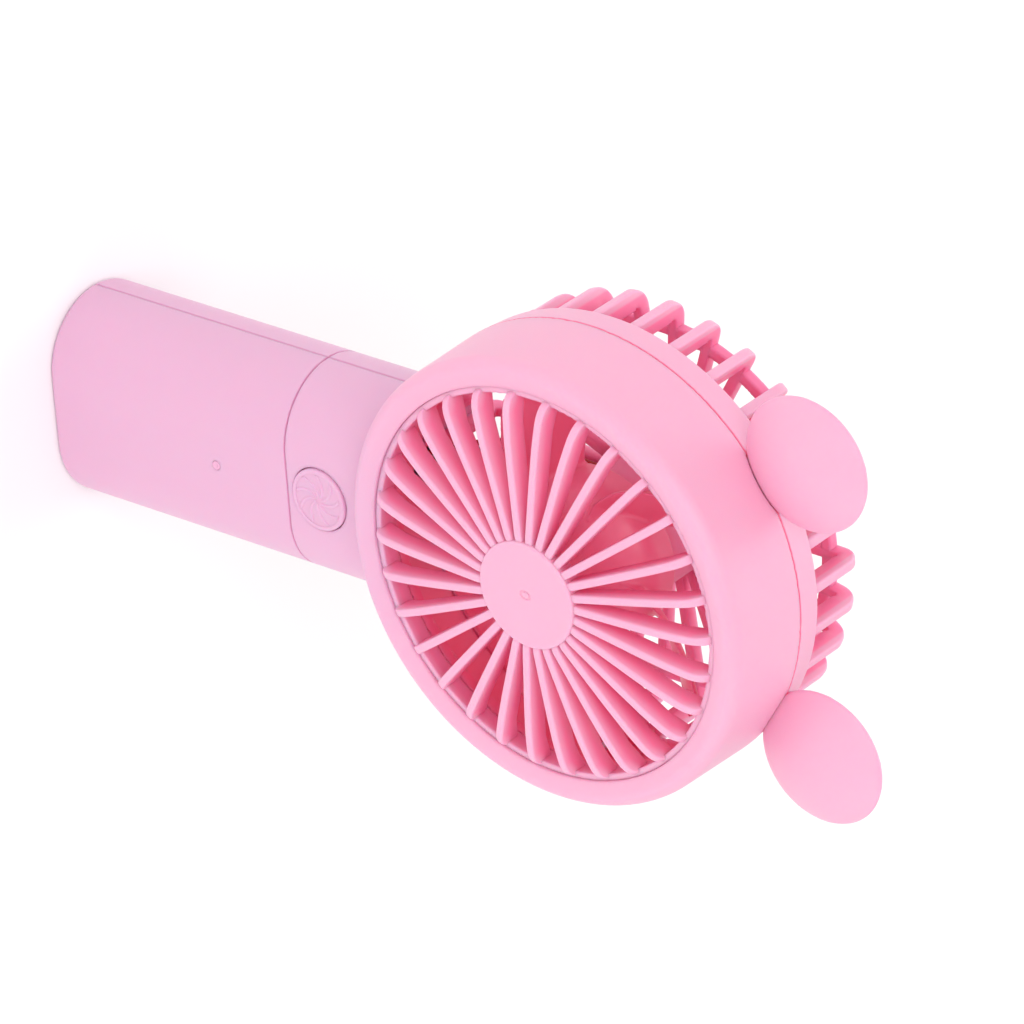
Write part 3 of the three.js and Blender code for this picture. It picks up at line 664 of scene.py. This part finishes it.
def repeated(name, part, tree, values):
    """The part as a tree of nodes repeats it, as a plain mesh piece; the part itself goes."""
    modifier = part.modifiers.new("repeat", "NODES")
    modifier.node_group = tree
    for identifier, value in values.items():
        modifier[identifier] = value
    bpy.context.view_layer.update()
    evaluated = part.evaluated_get(bpy.context.evaluated_depsgraph_get())
    mesh = bpy.data.meshes.new_from_object(evaluated)
    part.modifiers.remove(modifier)
    bpy.data.objects.remove(part)
    mesh.name = name
    piece = bpy.data.objects.new(name, mesh)
    bpy.context.collection.objects.link(piece)
    return piece


def lofted(name, rings, material):
    """A closed mesh through rings of points, with flat ends."""
    count = len(rings[0])
    points = np.concatenate(rings)
    faces = [tuple(reversed(range(count)))]
    for i in range(len(rings) - 1):
        a, b = i * count, (i + 1) * count
        faces += [(a + j, a + (j + 1) % count, b + (j + 1) % count, b + j) for j in range(count)]
    faces.append(tuple(range(len(points) - count, len(points))))
    return mesh_object(name, points, faces, material)


def bar_ring(rho, y, outward_rho, outward_y, depth, half_width, nose):
    """Section of a radial bar: a rounded nose on its outward side, soft corners behind."""
    inner = min(0.45, half_width * 0.5)
    turns = [math.radians(18 * k) for k in range(6)]
    points = []
    points += [(half_width - nose + nose * math.sin(t), -nose + nose * math.cos(t)) for t in turns]
    points += [(half_width - inner + inner * math.cos(t), -depth + inner - inner * math.sin(t))
               for t in turns[::2]]
    points += [(-half_width + inner - inner * math.sin(t), -depth + inner - inner * math.cos(t))
               for t in turns[::2]]
    points += [(-half_width + nose - nose * math.cos(t), -nose + nose * math.sin(t)) for t in turns]
    return [(across, y + outward_y * up, HEAD_Z + rho + outward_rho * up) for across, up in points]


bend_rho = REAR_RIB_R - REAR_BEND_R
bend_y = REAR_FACE_Y - REAR_BEND_R
stations = [(REAR_RIB_R, y, 1, 0, REAR_RIB_DEPTH) for y in (5.6, 9.0, 13.0, 17.0)]
for step in range(REAR_BEND_STEPS + 1):
    bend = math.radians(90 * step / REAR_BEND_STEPS)
    stations.append((bend_rho + REAR_BEND_R * math.cos(bend), bend_y + REAR_BEND_R * math.sin(bend),
                     math.cos(bend), math.sin(bend), REAR_RIB_DEPTH - 1.2 * step / REAR_BEND_STEPS))
stations += [(rho, REAR_FACE_Y + 0.15 * (bend_rho - rho) / 28, 0, 1, 3.0) for rho in (39, 33, 27, 21, 15)]
rear_bar = lofted("rear_bar", [bar_ring(*s, REAR_RIB_HALF_WIDTH, 0.55) for s in stations], head_pink)
rear_ribs = repeated("rear_ribs", rear_bar, wheel, {
    wheel_inputs["Bars"]: RIB_COUNT, wheel_inputs["Axis height"]: HEAD_Z * MM,
    wheel_inputs["Plastic"]: head_pink})
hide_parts("rear_housing")
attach(rear_ribs, "housing")


# ---- Front grille ----------------------------------------------------------------------
# A separate insert clipped into the bezel: a thin rim, a centre disc with the small mark of
# its moulding gate, and thirty blade-like ribs that shoulder up from the rim.
DISC_R = 11.8
DISC_FRONT_Y = -25.1
DISC_MIDDLE_Y = -22.85
DISC_HALF = 2.25
RIM_MIDDLE_R = 42.27
RIM_HALF_WALL = 0.69
RIM_MIDDLE_Y = -17.5
RIM_HALF = 2.1
GATE_MARK_R = 1.05
GATE_MARK_HALF = 0.22
FRONT_RIB_HALF_WIDTH = 0.88


def grille_rim_field(p):
    side = np.abs(axis_distance(p) - RIM_MIDDLE_R) - RIM_HALF_WALL
    return rounded_cut(side, np.abs(p[:, 1] - RIM_MIDDLE_Y) - RIM_HALF, 0.3)


def grille_disc_field(p):
    rho = axis_distance(p)
    disc = rounded_cut(rho - DISC_R, np.abs(p[:, 1] - DISC_MIDDLE_Y) - DISC_HALF, 0.55)
    mark = np.hypot((p[:, 0] + 0.2) / 0.75, (p[:, 2] - HEAD_Z) / 1.1)
    groove = np.maximum(np.abs(mark - GATE_MARK_R) * 0.8 - GATE_MARK_HALF, DISC_FRONT_Y - p[:, 1] - 1)
    groove = np.maximum(groove, p[:, 1] - DISC_FRONT_Y - GATE_MARK_HALF)
    return rounded_cut(disc, -groove, 0.12)


grille_rim = moulded("front_grille_rim", grille_rim_field, (-44, -20.5, 90), (44, -14.5, 178), 0.4,
                     head_pink)
grille_disc = moulded("front_grille_disc", grille_disc_field, (-12.6, -25.8, 121.4),
                      (12.6, -20, 146.6), 0.22, head_pink)
front_edge = [(42.5, -19.2), (42.2, -20.2), (41.6, -21.1), (40.7, -21.8), (39.6, -22.3), (38.2, -22.65),
              (36.0, -23.0), (33.0, -23.4), (27.0, -23.9), (21.5, -24.25), (16.0, -24.6),
              (13.0, -24.78), (12.0, -24.7), (11.2, -24.4)]
back_edge = [(42.5, -16.0), (36.0, -18.2), (24.0, -19.4), (11.2, -20.8)]


def front_bar_ring(rho, y):
    back = np.interp(-rho, [-back_rho for back_rho, _ in back_edge], [back_y for _, back_y in back_edge])
    return bar_ring(rho, y, 0, -1, abs(y - back), FRONT_RIB_HALF_WIDTH, 0.5)


front_bar = lofted("front_bar", [front_bar_ring(*place)[::-1] for place in front_edge], head_pink)
front_ribs = repeated("front_grille_ribs", front_bar, wheel, {
    wheel_inputs["Bars"]: RIB_COUNT, wheel_inputs["Axis height"]: HEAD_Z * MM,
    wheel_inputs["Plastic"]: head_pink})
for piece in (grille_rim, grille_disc, front_ribs):
    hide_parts("front_grille")
    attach(piece, "housing")


# ---- Handle shells ---------------------------------------------------------------------
# Two ABS shells that meet at the sides and take the neck's tongue at the top. The front one
# carries the foot's plate. Four screws from behind close them round the battery.
FOOT_ROUNDING = 1.5
FLOOR = 2.4
FLOOR_INSET = 5.0
LENS_Z = 45.0
LENS_HOLE_R = 1.08
HANDLE_SCREWS = [(x, z) for z in (12.0, 50.0) for x in (-16.5, 16.5)]


def handle_tube_field(p):
    section = handle_section(p)
    top = p[:, 2] - NECK_Z + seam(-section)
    outside = rounded_cut(rounded_cut(section, -p[:, 2], FOOT_ROUNDING), top, EDGE)
    room = np.maximum(section + WALL, FLOOR - p[:, 2])
    tube = rounded_cut(outside, -room, EDGE)
    bosses = np.maximum(pillars(p, HANDLE_SCREWS, BOSS_R), section + BOSS_INSET)
    return np.minimum(tube, np.maximum(bosses, 1 - p[:, 2]))


def handle_front_field(p):
    front = rounded_cut(handle_tube_field(p), p[:, 1] + seam(-handle_section(p)), EDGE)
    plate = np.maximum(handle_section(p) + FLOOR_INSET, np.abs(p[:, 2] - FLOOR / 2) - FLOOR / 2)
    lens_hole = np.maximum(pillar(p, 0, LENS_Z, LENS_HOLE_R), p[:, 1] - FRONT_HOLE_END_Y)
    return rounded_cut(np.minimum(front, plate), -lens_hole, 0.15)


def handle_rear_field(p):
    rear = rounded_cut(handle_tube_field(p), seam(-handle_section(p)) - p[:, 1], EDGE)
    plate_room = np.maximum(handle_section(p) + FLOOR_INSET - 2 * SEAM, p[:, 2] - FLOOR - 0.3)
    heads = np.maximum(pillars(p, HANDLE_SCREWS, COUNTERBORE_R), SCREW_SEAT_Y - p[:, 1])
    return rounded_cut(rear, -np.minimum(plate_room, heads), EDGE)


handle_pink = pink_plastic("handle_plastic", HANDLE_PINK, HANDLE_PINK, 0.44)
for name, field, low, high in (
        ("handle_front", handle_front_field, (-24.5, -16.7, -1), (24.5, 11.7, 65)),
        ("handle_rear", handle_rear_field, (-24.5, -1, -1), (24.5, 16.7, 65))):
    shell = moulded(name + "_shell", field, low, high, 0.45, handle_pink)
    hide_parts(name)
    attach(shell, "housing")


# ---- Power button ----------------------------------------------------------------------
# A round ABS cap that clicks down on the switch behind it, kept in by a flange. Curved rays
# stand in its shallow dish as a plain swirl, to show that it drives the fan.
BUTTON_R = 6.9
BUTTON_FACE_Y = -16.3
BUTTON_BACK_Y = -12.6
BUTTON_FLANGE_R = 7.9
FLANGE_MIDDLE_Y = -12.95
FLANGE_HALF = 0.35
BUTTON_ROOM_R = 5.5
BUTTON_STEM_R = 1.8
BUTTON_SOCKET_R = 1.9
DISH_R = 5.9
DISH_DEPTH = 0.24
RAY_COUNT = 9
RAY_TWIST = 62.0
RAY_START_R = 0.7
RAY_END_R = 5.7


def power_button_field(p):
    x, y, z = p[:, 0], p[:, 1], p[:, 2] - BUTTON_Z
    rho = np.hypot(x, z)
    cap = rounded_cut(rho - BUTTON_R, BUTTON_FACE_Y - y, 0.55)
    cap = np.maximum(cap, y - BUTTON_BACK_Y)
    flange = rounded_cut(rho - BUTTON_FLANGE_R, np.abs(y - FLANGE_MIDDLE_Y) - FLANGE_HALF, 0.15)
    room = np.maximum(rho - BUTTON_ROOM_R, BUTTON_FACE_Y + 1.5 - y)
    body = np.maximum(np.minimum(cap, flange), -np.maximum(room, BUTTON_STEM_R - rho))
    body = np.maximum(body, -np.maximum(rho - BUTTON_SOCKET_R, BUTTON_FACE_Y + 2 - y))
    dish = np.maximum(rho - DISH_R, y - BUTTON_FACE_Y - DISH_DEPTH)
    body = rounded_cut(body, -dish, 0.15)
    pitch = 360 / RAY_COUNT
    spoke = (np.degrees(np.arctan2(x, z)) + RAY_TWIST * rho / BUTTON_R + pitch / 2) % pitch - pitch / 2
    aside = np.radians(np.abs(spoke)) * np.maximum(rho, 0.4) * 0.8
    ray = np.maximum(aside - 0.10 - 0.045 * rho, np.maximum(RAY_START_R - rho, rho - RAY_END_R))
    ray = rounded_cut(ray, BUTTON_FACE_Y + 0.02 - y, 0.14)
    return filleted(body, np.maximum(ray, y - BUTTON_FACE_Y - 1), 0.14)


power_button = moulded("power_button_cap", power_button_field, (-8.6, -17, 64.2), (8.6, -12, 81.4), 0.16,
                       handle_pink)
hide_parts("power_button")
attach(power_button, "button")


# ---- Indicator -------------------------------------------------------------------------
# A small moulded light pipe in the handle's front, a touch greyer than the shell, that the
# charge light shines through. Its outer end is slightly sunk and dished.
PIPE_R = 1.0
PIPE_FLANGE_R = 1.8
PIPE_FACE_Y = -15.75
PIPE_DISH_Y = -16.6
PIPE_DISH_R = 1.05


def indicator_field(p):
    y = p[:, 1]
    pin = rounded_cut(pillar(p, 0, LENS_Z, PIPE_R), PIPE_FACE_Y - y, 0.2)
    pin = np.maximum(pin, y - BUTTON_BACK_Y)
    flange = pillar(p, 0, LENS_Z, PIPE_FLANGE_R)
    flange = rounded_cut(flange, np.abs(y - FLANGE_MIDDLE_Y) - FLANGE_HALF, 0.1)
    dish = np.hypot(pillar(p, 0, LENS_Z, 0), y - PIPE_DISH_Y) - PIPE_DISH_R
    return rounded_cut(np.minimum(pin, flange), -dish, 0.08)


lens_made = Finish("light_pipe")
lens_cloud = lens_made.noise(900.0)
light_pipe = lens_made.set(
    Base_Color=lens_made.tint(lens_cloud, linear(226, 165, 198), linear(236, 176, 208)),
    Roughness=lens_cloud * 0.1 + 0.22, Specular_IOR_Level=0.5)
indicator = moulded("indicator_light_pipe", indicator_field, (-2.2, -16.2, 42.8), (2.2, -12.2, 47.2),
                    0.09, light_pipe)
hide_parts("indicator_lens")
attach(indicator, "housing")


# ---- Impeller --------------------------------------------------------------------------
# A hollow domed hub with five broad swept blades, moulded in a deeper pink and pressed on
# the motor's shaft. The blades thin towards their tips and their corners are rounded.
HUB_R = 17.5
HUB_DEPTH = 9.5
HUB_BACK_Y = 1.0
BUSH_R = 3.0
BORE_R = 1.1
BORE_END_Y = -11.1
BLADE_COUNT = 5
BLADE_ROOT_R = 16.3
BLADE_TIP_R = 38.5
BLADE_PHASE = 35.0
BLADE_SWEEP = -31.0
BLADE_PITCH = 360 / BLADE_COUNT
BLADE_FRONT_Y = -9.0
BLADE_INNER_END_R = 12.6


def hub_dome(p, radius, depth):
    rho = axis_distance(p)
    bulge = np.hypot(rho / radius, (np.minimum(p[:, 1], -3) + 3) / depth)
    return (bulge - 1) * (radius + depth) / 2


def impeller_field(p):
    x, y, z = p.T
    rho = axis_distance(p)
    hub = rounded_cut(hub_dome(p, HUB_R, HUB_DEPTH), y - HUB_BACK_Y, 0.35)
    bush = np.maximum(rho - BUSH_R, y + 7)
    hollow = np.maximum(hub_dome(p, HUB_R - 1.6, HUB_DEPTH - 1.7), -bush)
    span = np.clip((rho - BLADE_ROOT_R) / (BLADE_TIP_R - BLADE_ROOT_R), 0, 1)
    lead = BLADE_PHASE + BLADE_SWEEP * (1 - span)
    wide = np.radians(36 - 10 * span)
    turned = np.degrees(np.arctan2(x, z - HEAD_Z)) - lead
    turned = (turned + BLADE_PITCH / 4) % BLADE_PITCH - BLADE_PITCH / 4
    chord = np.radians(turned) / wide
    held = np.clip(chord, 0, 1)
    front = BLADE_FRONT_Y - 2.6 * span
    sheet = front - front * held - 1.6 * np.sin(np.pi * held) * span
    thickness = 1.5 - 0.55 * span
    blade = np.abs(y - sheet) * 0.82 - thickness / 2
    tip = BLADE_TIP_R - 7 * held**4 - 1.5 * (1 - held) ** 6
    ends = np.maximum.reduce([-chord * wide * rho, (chord - 1) * wide * rho, rho - tip])
    blade = rounded_cut(blade, ends, 0.42)
    blade = np.maximum(blade, BLADE_INNER_END_R - rho)
    body = np.maximum(filleted(hub, blade, 0.9), -hollow)
    bore = np.maximum(rho - BORE_R, BORE_END_Y - y)
    return np.maximum(body, -bore)


impeller_made = Finish("impeller_plastic")
flow = impeller_made.noise(70.0, 3.0)
impeller_skin = impeller_made.noise(3600.0, 2.0)
impeller_pink = impeller_made.set(
    Base_Color=impeller_made.tint(flow, linear(255, 122, 160), linear(255, 138, 174)),
    Subsurface_Weight=0.3, Subsurface_Radius=(1.0, 0.25, 0.42), Subsurface_Scale=0.003,
    Roughness=flow * 0.08 + impeller_skin * 0.05 + 0.24,
    Normal=impeller_made.bump(impeller_skin, 0.00002, 0.3), Specular_IOR_Level=0.5)
impeller = moulded("impeller_rotor", impeller_field, (-40, -14, 94), (40, 2.2, 174), 0.42, impeller_pink)
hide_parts("impeller")
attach(impeller, "rotor")


# ---- Screws ----------------------------------------------------------------------------
# Zinc-plated pan-head screws with a cross recess, cut into the plastic bosses from behind.
# One of each length is drawn, and set in its places along the shells.
screw_set = bpy.data.node_groups.new("screws_in_places", "GeometryNodeTree")
screw_inputs = {name: tree_socket(screw_set, name, kind) for name, kind in (
    ("Places", "Geometry"), ("Screw", "Object"), ("Metal", "Material"))}
tree_socket(screw_set, "Screws", "Geometry", "OUTPUT")
screws_in = tree_node(screw_set, "NodeGroupInput", {}, {})
drawn_screw = tree_node(screw_set, "GeometryNodeObjectInfo", {}, {0: screws_in.outputs["Screw"]})
set_screws = tree_node(screw_set, "GeometryNodeInstanceOnPoints", {},
                       {"Points": screws_in.outputs["Places"], "Instance": drawn_screw.outputs["Geometry"]})
real_screws = tree_node(screw_set, "GeometryNodeRealizeInstances", {}, {0: set_screws.outputs[0]})
coated_screws = tree_node(screw_set, "GeometryNodeSetMaterial", {},
                          {"Geometry": real_screws.outputs[0], "Material": screws_in.outputs["Metal"]})
tree_node(screw_set, "NodeGroupOutput", {}, {0: coated_screws.outputs[0]})

zinc_made = Finish("zinc_steel")
zinc_cloud = zinc_made.noise(1400.0, 3.0)
zinc_steel = zinc_made.set(
    Base_Color=zinc_made.tint(zinc_cloud, (0.60, 0.61, 0.63), (0.74, 0.75, 0.77)), Metallic=1.0,
    Roughness=zinc_cloud * 0.22 + 0.22, Normal=zinc_made.bump(zinc_cloud, 0.00002, 0.4))


def screw_field(head_r, shank_r, length):
    """A screw whose head stands on y 0 and whose shank runs towards -Y."""
    def field(p):
        x, y, z = p.T
        rho = np.hypot(x, z)
        head = rounded_cut(rho - head_r, np.abs(y - 0.75) - 0.75, 0.45)
        depth = np.maximum(y, -1)
        arm = 0.24 + 0.10 * depth
        reach = 1.15 + 0.25 * (depth - 1.5)
        cross = np.minimum(np.maximum(np.abs(x) - arm, np.abs(z) - reach),
                           np.maximum(np.abs(z) - arm, np.abs(x) - reach))
        cross = np.maximum(cross, 0.45 - y)
        groove = 0.09 * np.cos(2 * np.pi * y / 0.8 + np.arctan2(x, z))
        shank = np.maximum(rho - shank_r + 0.09 + groove, -y - length)
        shank = np.maximum(shank, rho - (y + length) * 1.1 - 0.1)
        return np.minimum(rounded_cut(head, -cross, 0.08), np.maximum(shank, y - 0.3))
    return field


def screws(name, places, head_y, head_r, shank_r, length, nodes):
    """Screws of one size with their heads' seats at head_y."""
    drawn = moulded(name + "_drawn", screw_field(head_r, shank_r, length), (-2.8, -length - 0.6, -2.8),
                    (2.8, 2.2, 2.8), 0.14, zinc_steel)
    spots = mesh_object(name + "_spots", [(x, head_y, z) for x, z in places], [], zinc_steel)
    made = repeated(name, spots, screw_set, {screw_inputs["Screw"]: drawn,
                                             screw_inputs["Metal"]: zinc_steel})
    bpy.data.objects.remove(drawn)
    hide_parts(*nodes)
    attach(made, "housing")


sides = ("left", "right")
screws("shell_screws", NECK_SCREWS + HANDLE_SCREWS, 9.2, 2.3, 1.1, 16.2,
       [f"neck_screw_{side}" for side in sides]
       + [f"handle_screw_{level}_{side}" for level in ("lower", "upper") for side in sides])
screws("head_screws", HEAD_SCREWS, 5.5, 2.3, 1.1, 12.5, [f"head_screw_{side}" for side in sides])
screws("motor_screws", MOTOR_SCREWS, 22.7, 1.8, 0.85, 4.4, ["motor_screw_lower", "motor_screw_upper"])


# ---- Motor wires -----------------------------------------------------------------------
# Two thin PVC-covered wires, red and black, that run from the control board up through the
# hole at the foot of the drum and behind the impeller to the motor's end cap.
WIRE_R = 0.6


def sheath(name, colour):
    made = Finish(name)
    marks = made.noise(1800.0, 2.0)
    shade = tuple(c * 0.7 for c in colour)
    return made.set(Base_Color=made.tint(marks, shade, colour), Roughness=marks * 0.15 + 0.32)


red_sheath = sheath("red_sheath", linear(196, 30, 34))
black_sheath = sheath("black_sheath", linear(30, 30, 32))


def motor_wire(name, x, material):
    route = [(x, -8.6, 78.5), (x, -4.0, 82.4), (x - 0.4, 1.4, 87.0), (x - 0.6, 7.5, 91.4),
             (x - 0.2, 13.8, 95.6), (x + 0.6, 17.8, 103.0), (x + 1.4, 18.8, 112.0),
             (x + 1.8, 18.8, 120.6)]
    curve = bpy.data.curves.new(name, "CURVE")
    curve.dimensions = "3D"
    curve.bevel_depth = WIRE_R * MM
    curve.bevel_resolution = 4
    curve.use_fill_caps = True
    line = curve.splines.new("BEZIER")
    line.bezier_points.add(len(route) - 1)
    for point, place in zip(line.bezier_points, route):
        point.co = [c * MM for c in place]
        point.handle_left_type = point.handle_right_type = "AUTO"
    drawn = bpy.data.objects.new(name + "_route", curve)
    bpy.context.collection.objects.link(drawn)
    bpy.context.view_layer.update()
    mesh = bpy.data.meshes.new_from_object(drawn.evaluated_get(bpy.context.evaluated_depsgraph_get()))
    bpy.data.objects.remove(drawn)
    mesh.materials.clear()
    mesh.materials.append(material)
    wire = bpy.data.objects.new(name + "_run", mesh)
    bpy.context.collection.objects.link(wire)
    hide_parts(name)
    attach(wire, "housing")
    return wire


motor_wire("motor_wire_red", -6.4, red_sheath)
motor_wire("motor_wire_black", -4.6, black_sheath)


# ---- Inner pieces ----------------------------------------------------------------------
# The motor, the boards, the socket and the battery keep the shapes of the frame, and get
# the finishes of the real materials: plated steel, laminate, wrap, foam, bronze and ferrite.
def plain_finish(name, low_colour, high_colour, roughness, metallic=0.0, grain=1500.0, depth=0.00002):
    made = Finish(name)
    cloud = made.noise(grain, 3.0)
    return made.set(Base_Color=made.tint(cloud, low_colour, high_colour), Metallic=metallic,
                    Roughness=cloud * 0.18 + roughness, Normal=made.bump(cloud, depth, 0.5))


def winding_finish():
    """Copper wire wound in fine turns along the armature."""
    made = Finish("copper_windings")
    along = made.part_of_place("Y")
    turns = (along * (math.tau / 0.0005)).worked_alone("SINE") * 0.5 + 0.5
    cloud = made.noise(900.0)
    # The colour darkens in the grooves between the turns and lightens on their crowns: painted shade and
    # painted sheen, following the bump.
    colour = made.tint(turns * 0.6 + cloud * 0.4, (0.30, 0.10, 0.04), (0.72, 0.33, 0.16))
    return made.set(Base_Color=colour, Metallic=1.0, Roughness=cloud * 0.15 + 0.28,
                    Normal=made.bump(turns, 0.0001, 0.7))


def laminate_finish():
    """Green solder mask over copper traces, which show as slightly raised lighter lines."""
    made = Finish("board_laminate")
    cells = made.node("ShaderNodeTexVoronoi", {"feature": "DISTANCE_TO_EDGE"},
                      {"Vector": made.place, "Scale": 420.0}, "Distance")
    traces = (cells * 14.0).clamped()
    colour = made.tint(traces, linear(52, 128, 84), linear(24, 84, 52))
    return made.set(Base_Color=colour, Roughness=traces * 0.12 + 0.3,
                    Normal=made.bump(1.0 - traces, 0.00004, 0.5))


black_plastic = plain_finish("black_plastic", (0.012, 0.012, 0.013), (0.024, 0.024, 0.026), 0.38)
board_laminate = laminate_finish()
battery_wrap = plain_finish("battery_wrap", linear(48, 108, 176), linear(62, 124, 192), 0.22, grain=260.0)
nickel = plain_finish("nickel_strip", (0.58, 0.56, 0.50), (0.72, 0.70, 0.64), 0.22, 1.0)
foam = plain_finish("grey_foam", (0.06, 0.06, 0.065), (0.13, 0.13, 0.14), 0.75, grain=2600.0,
                    depth=0.0002)
bronze = plain_finish("sintered_bronze", (0.34, 0.20, 0.08), (0.50, 0.31, 0.13), 0.34, 1.0, 2600.0)
ferrite = plain_finish("ferrite", (0.03, 0.03, 0.032), (0.055, 0.055, 0.06), 0.6)
copper_windings = winding_finish()
led_glass = plain_finish("led_glass", linear(232, 226, 214), linear(246, 240, 230), 0.15)

finishes = {
    black_plastic: ["switch_plunger", "switch_body", "control_chip", "motor_end_cap"],
    board_laminate: ["circuit_board", "charge_board"],
    zinc_steel: ["charging_socket", "motor_can", "motor_shaft"],
    battery_wrap: ["battery_cell"],
    nickel: ["battery_tab_positive", "battery_tab_negative"],
    foam: ["battery_foam_pad"],
    bronze: ["front_bush", "rear_bush"],
    ferrite: ["magnet_left", "magnet_right"],
    copper_windings: ["armature", "commutator"],
    led_glass: ["indicator_led"],
    red_sheath: ["battery_wire_red", "charge_wire_red"],
    black_sheath: ["battery_wire_black", "charge_wire_black"],
}
for material, nodes in finishes.items():
    for node in nodes:
        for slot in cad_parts[node].material_slots:
            slot.material = material
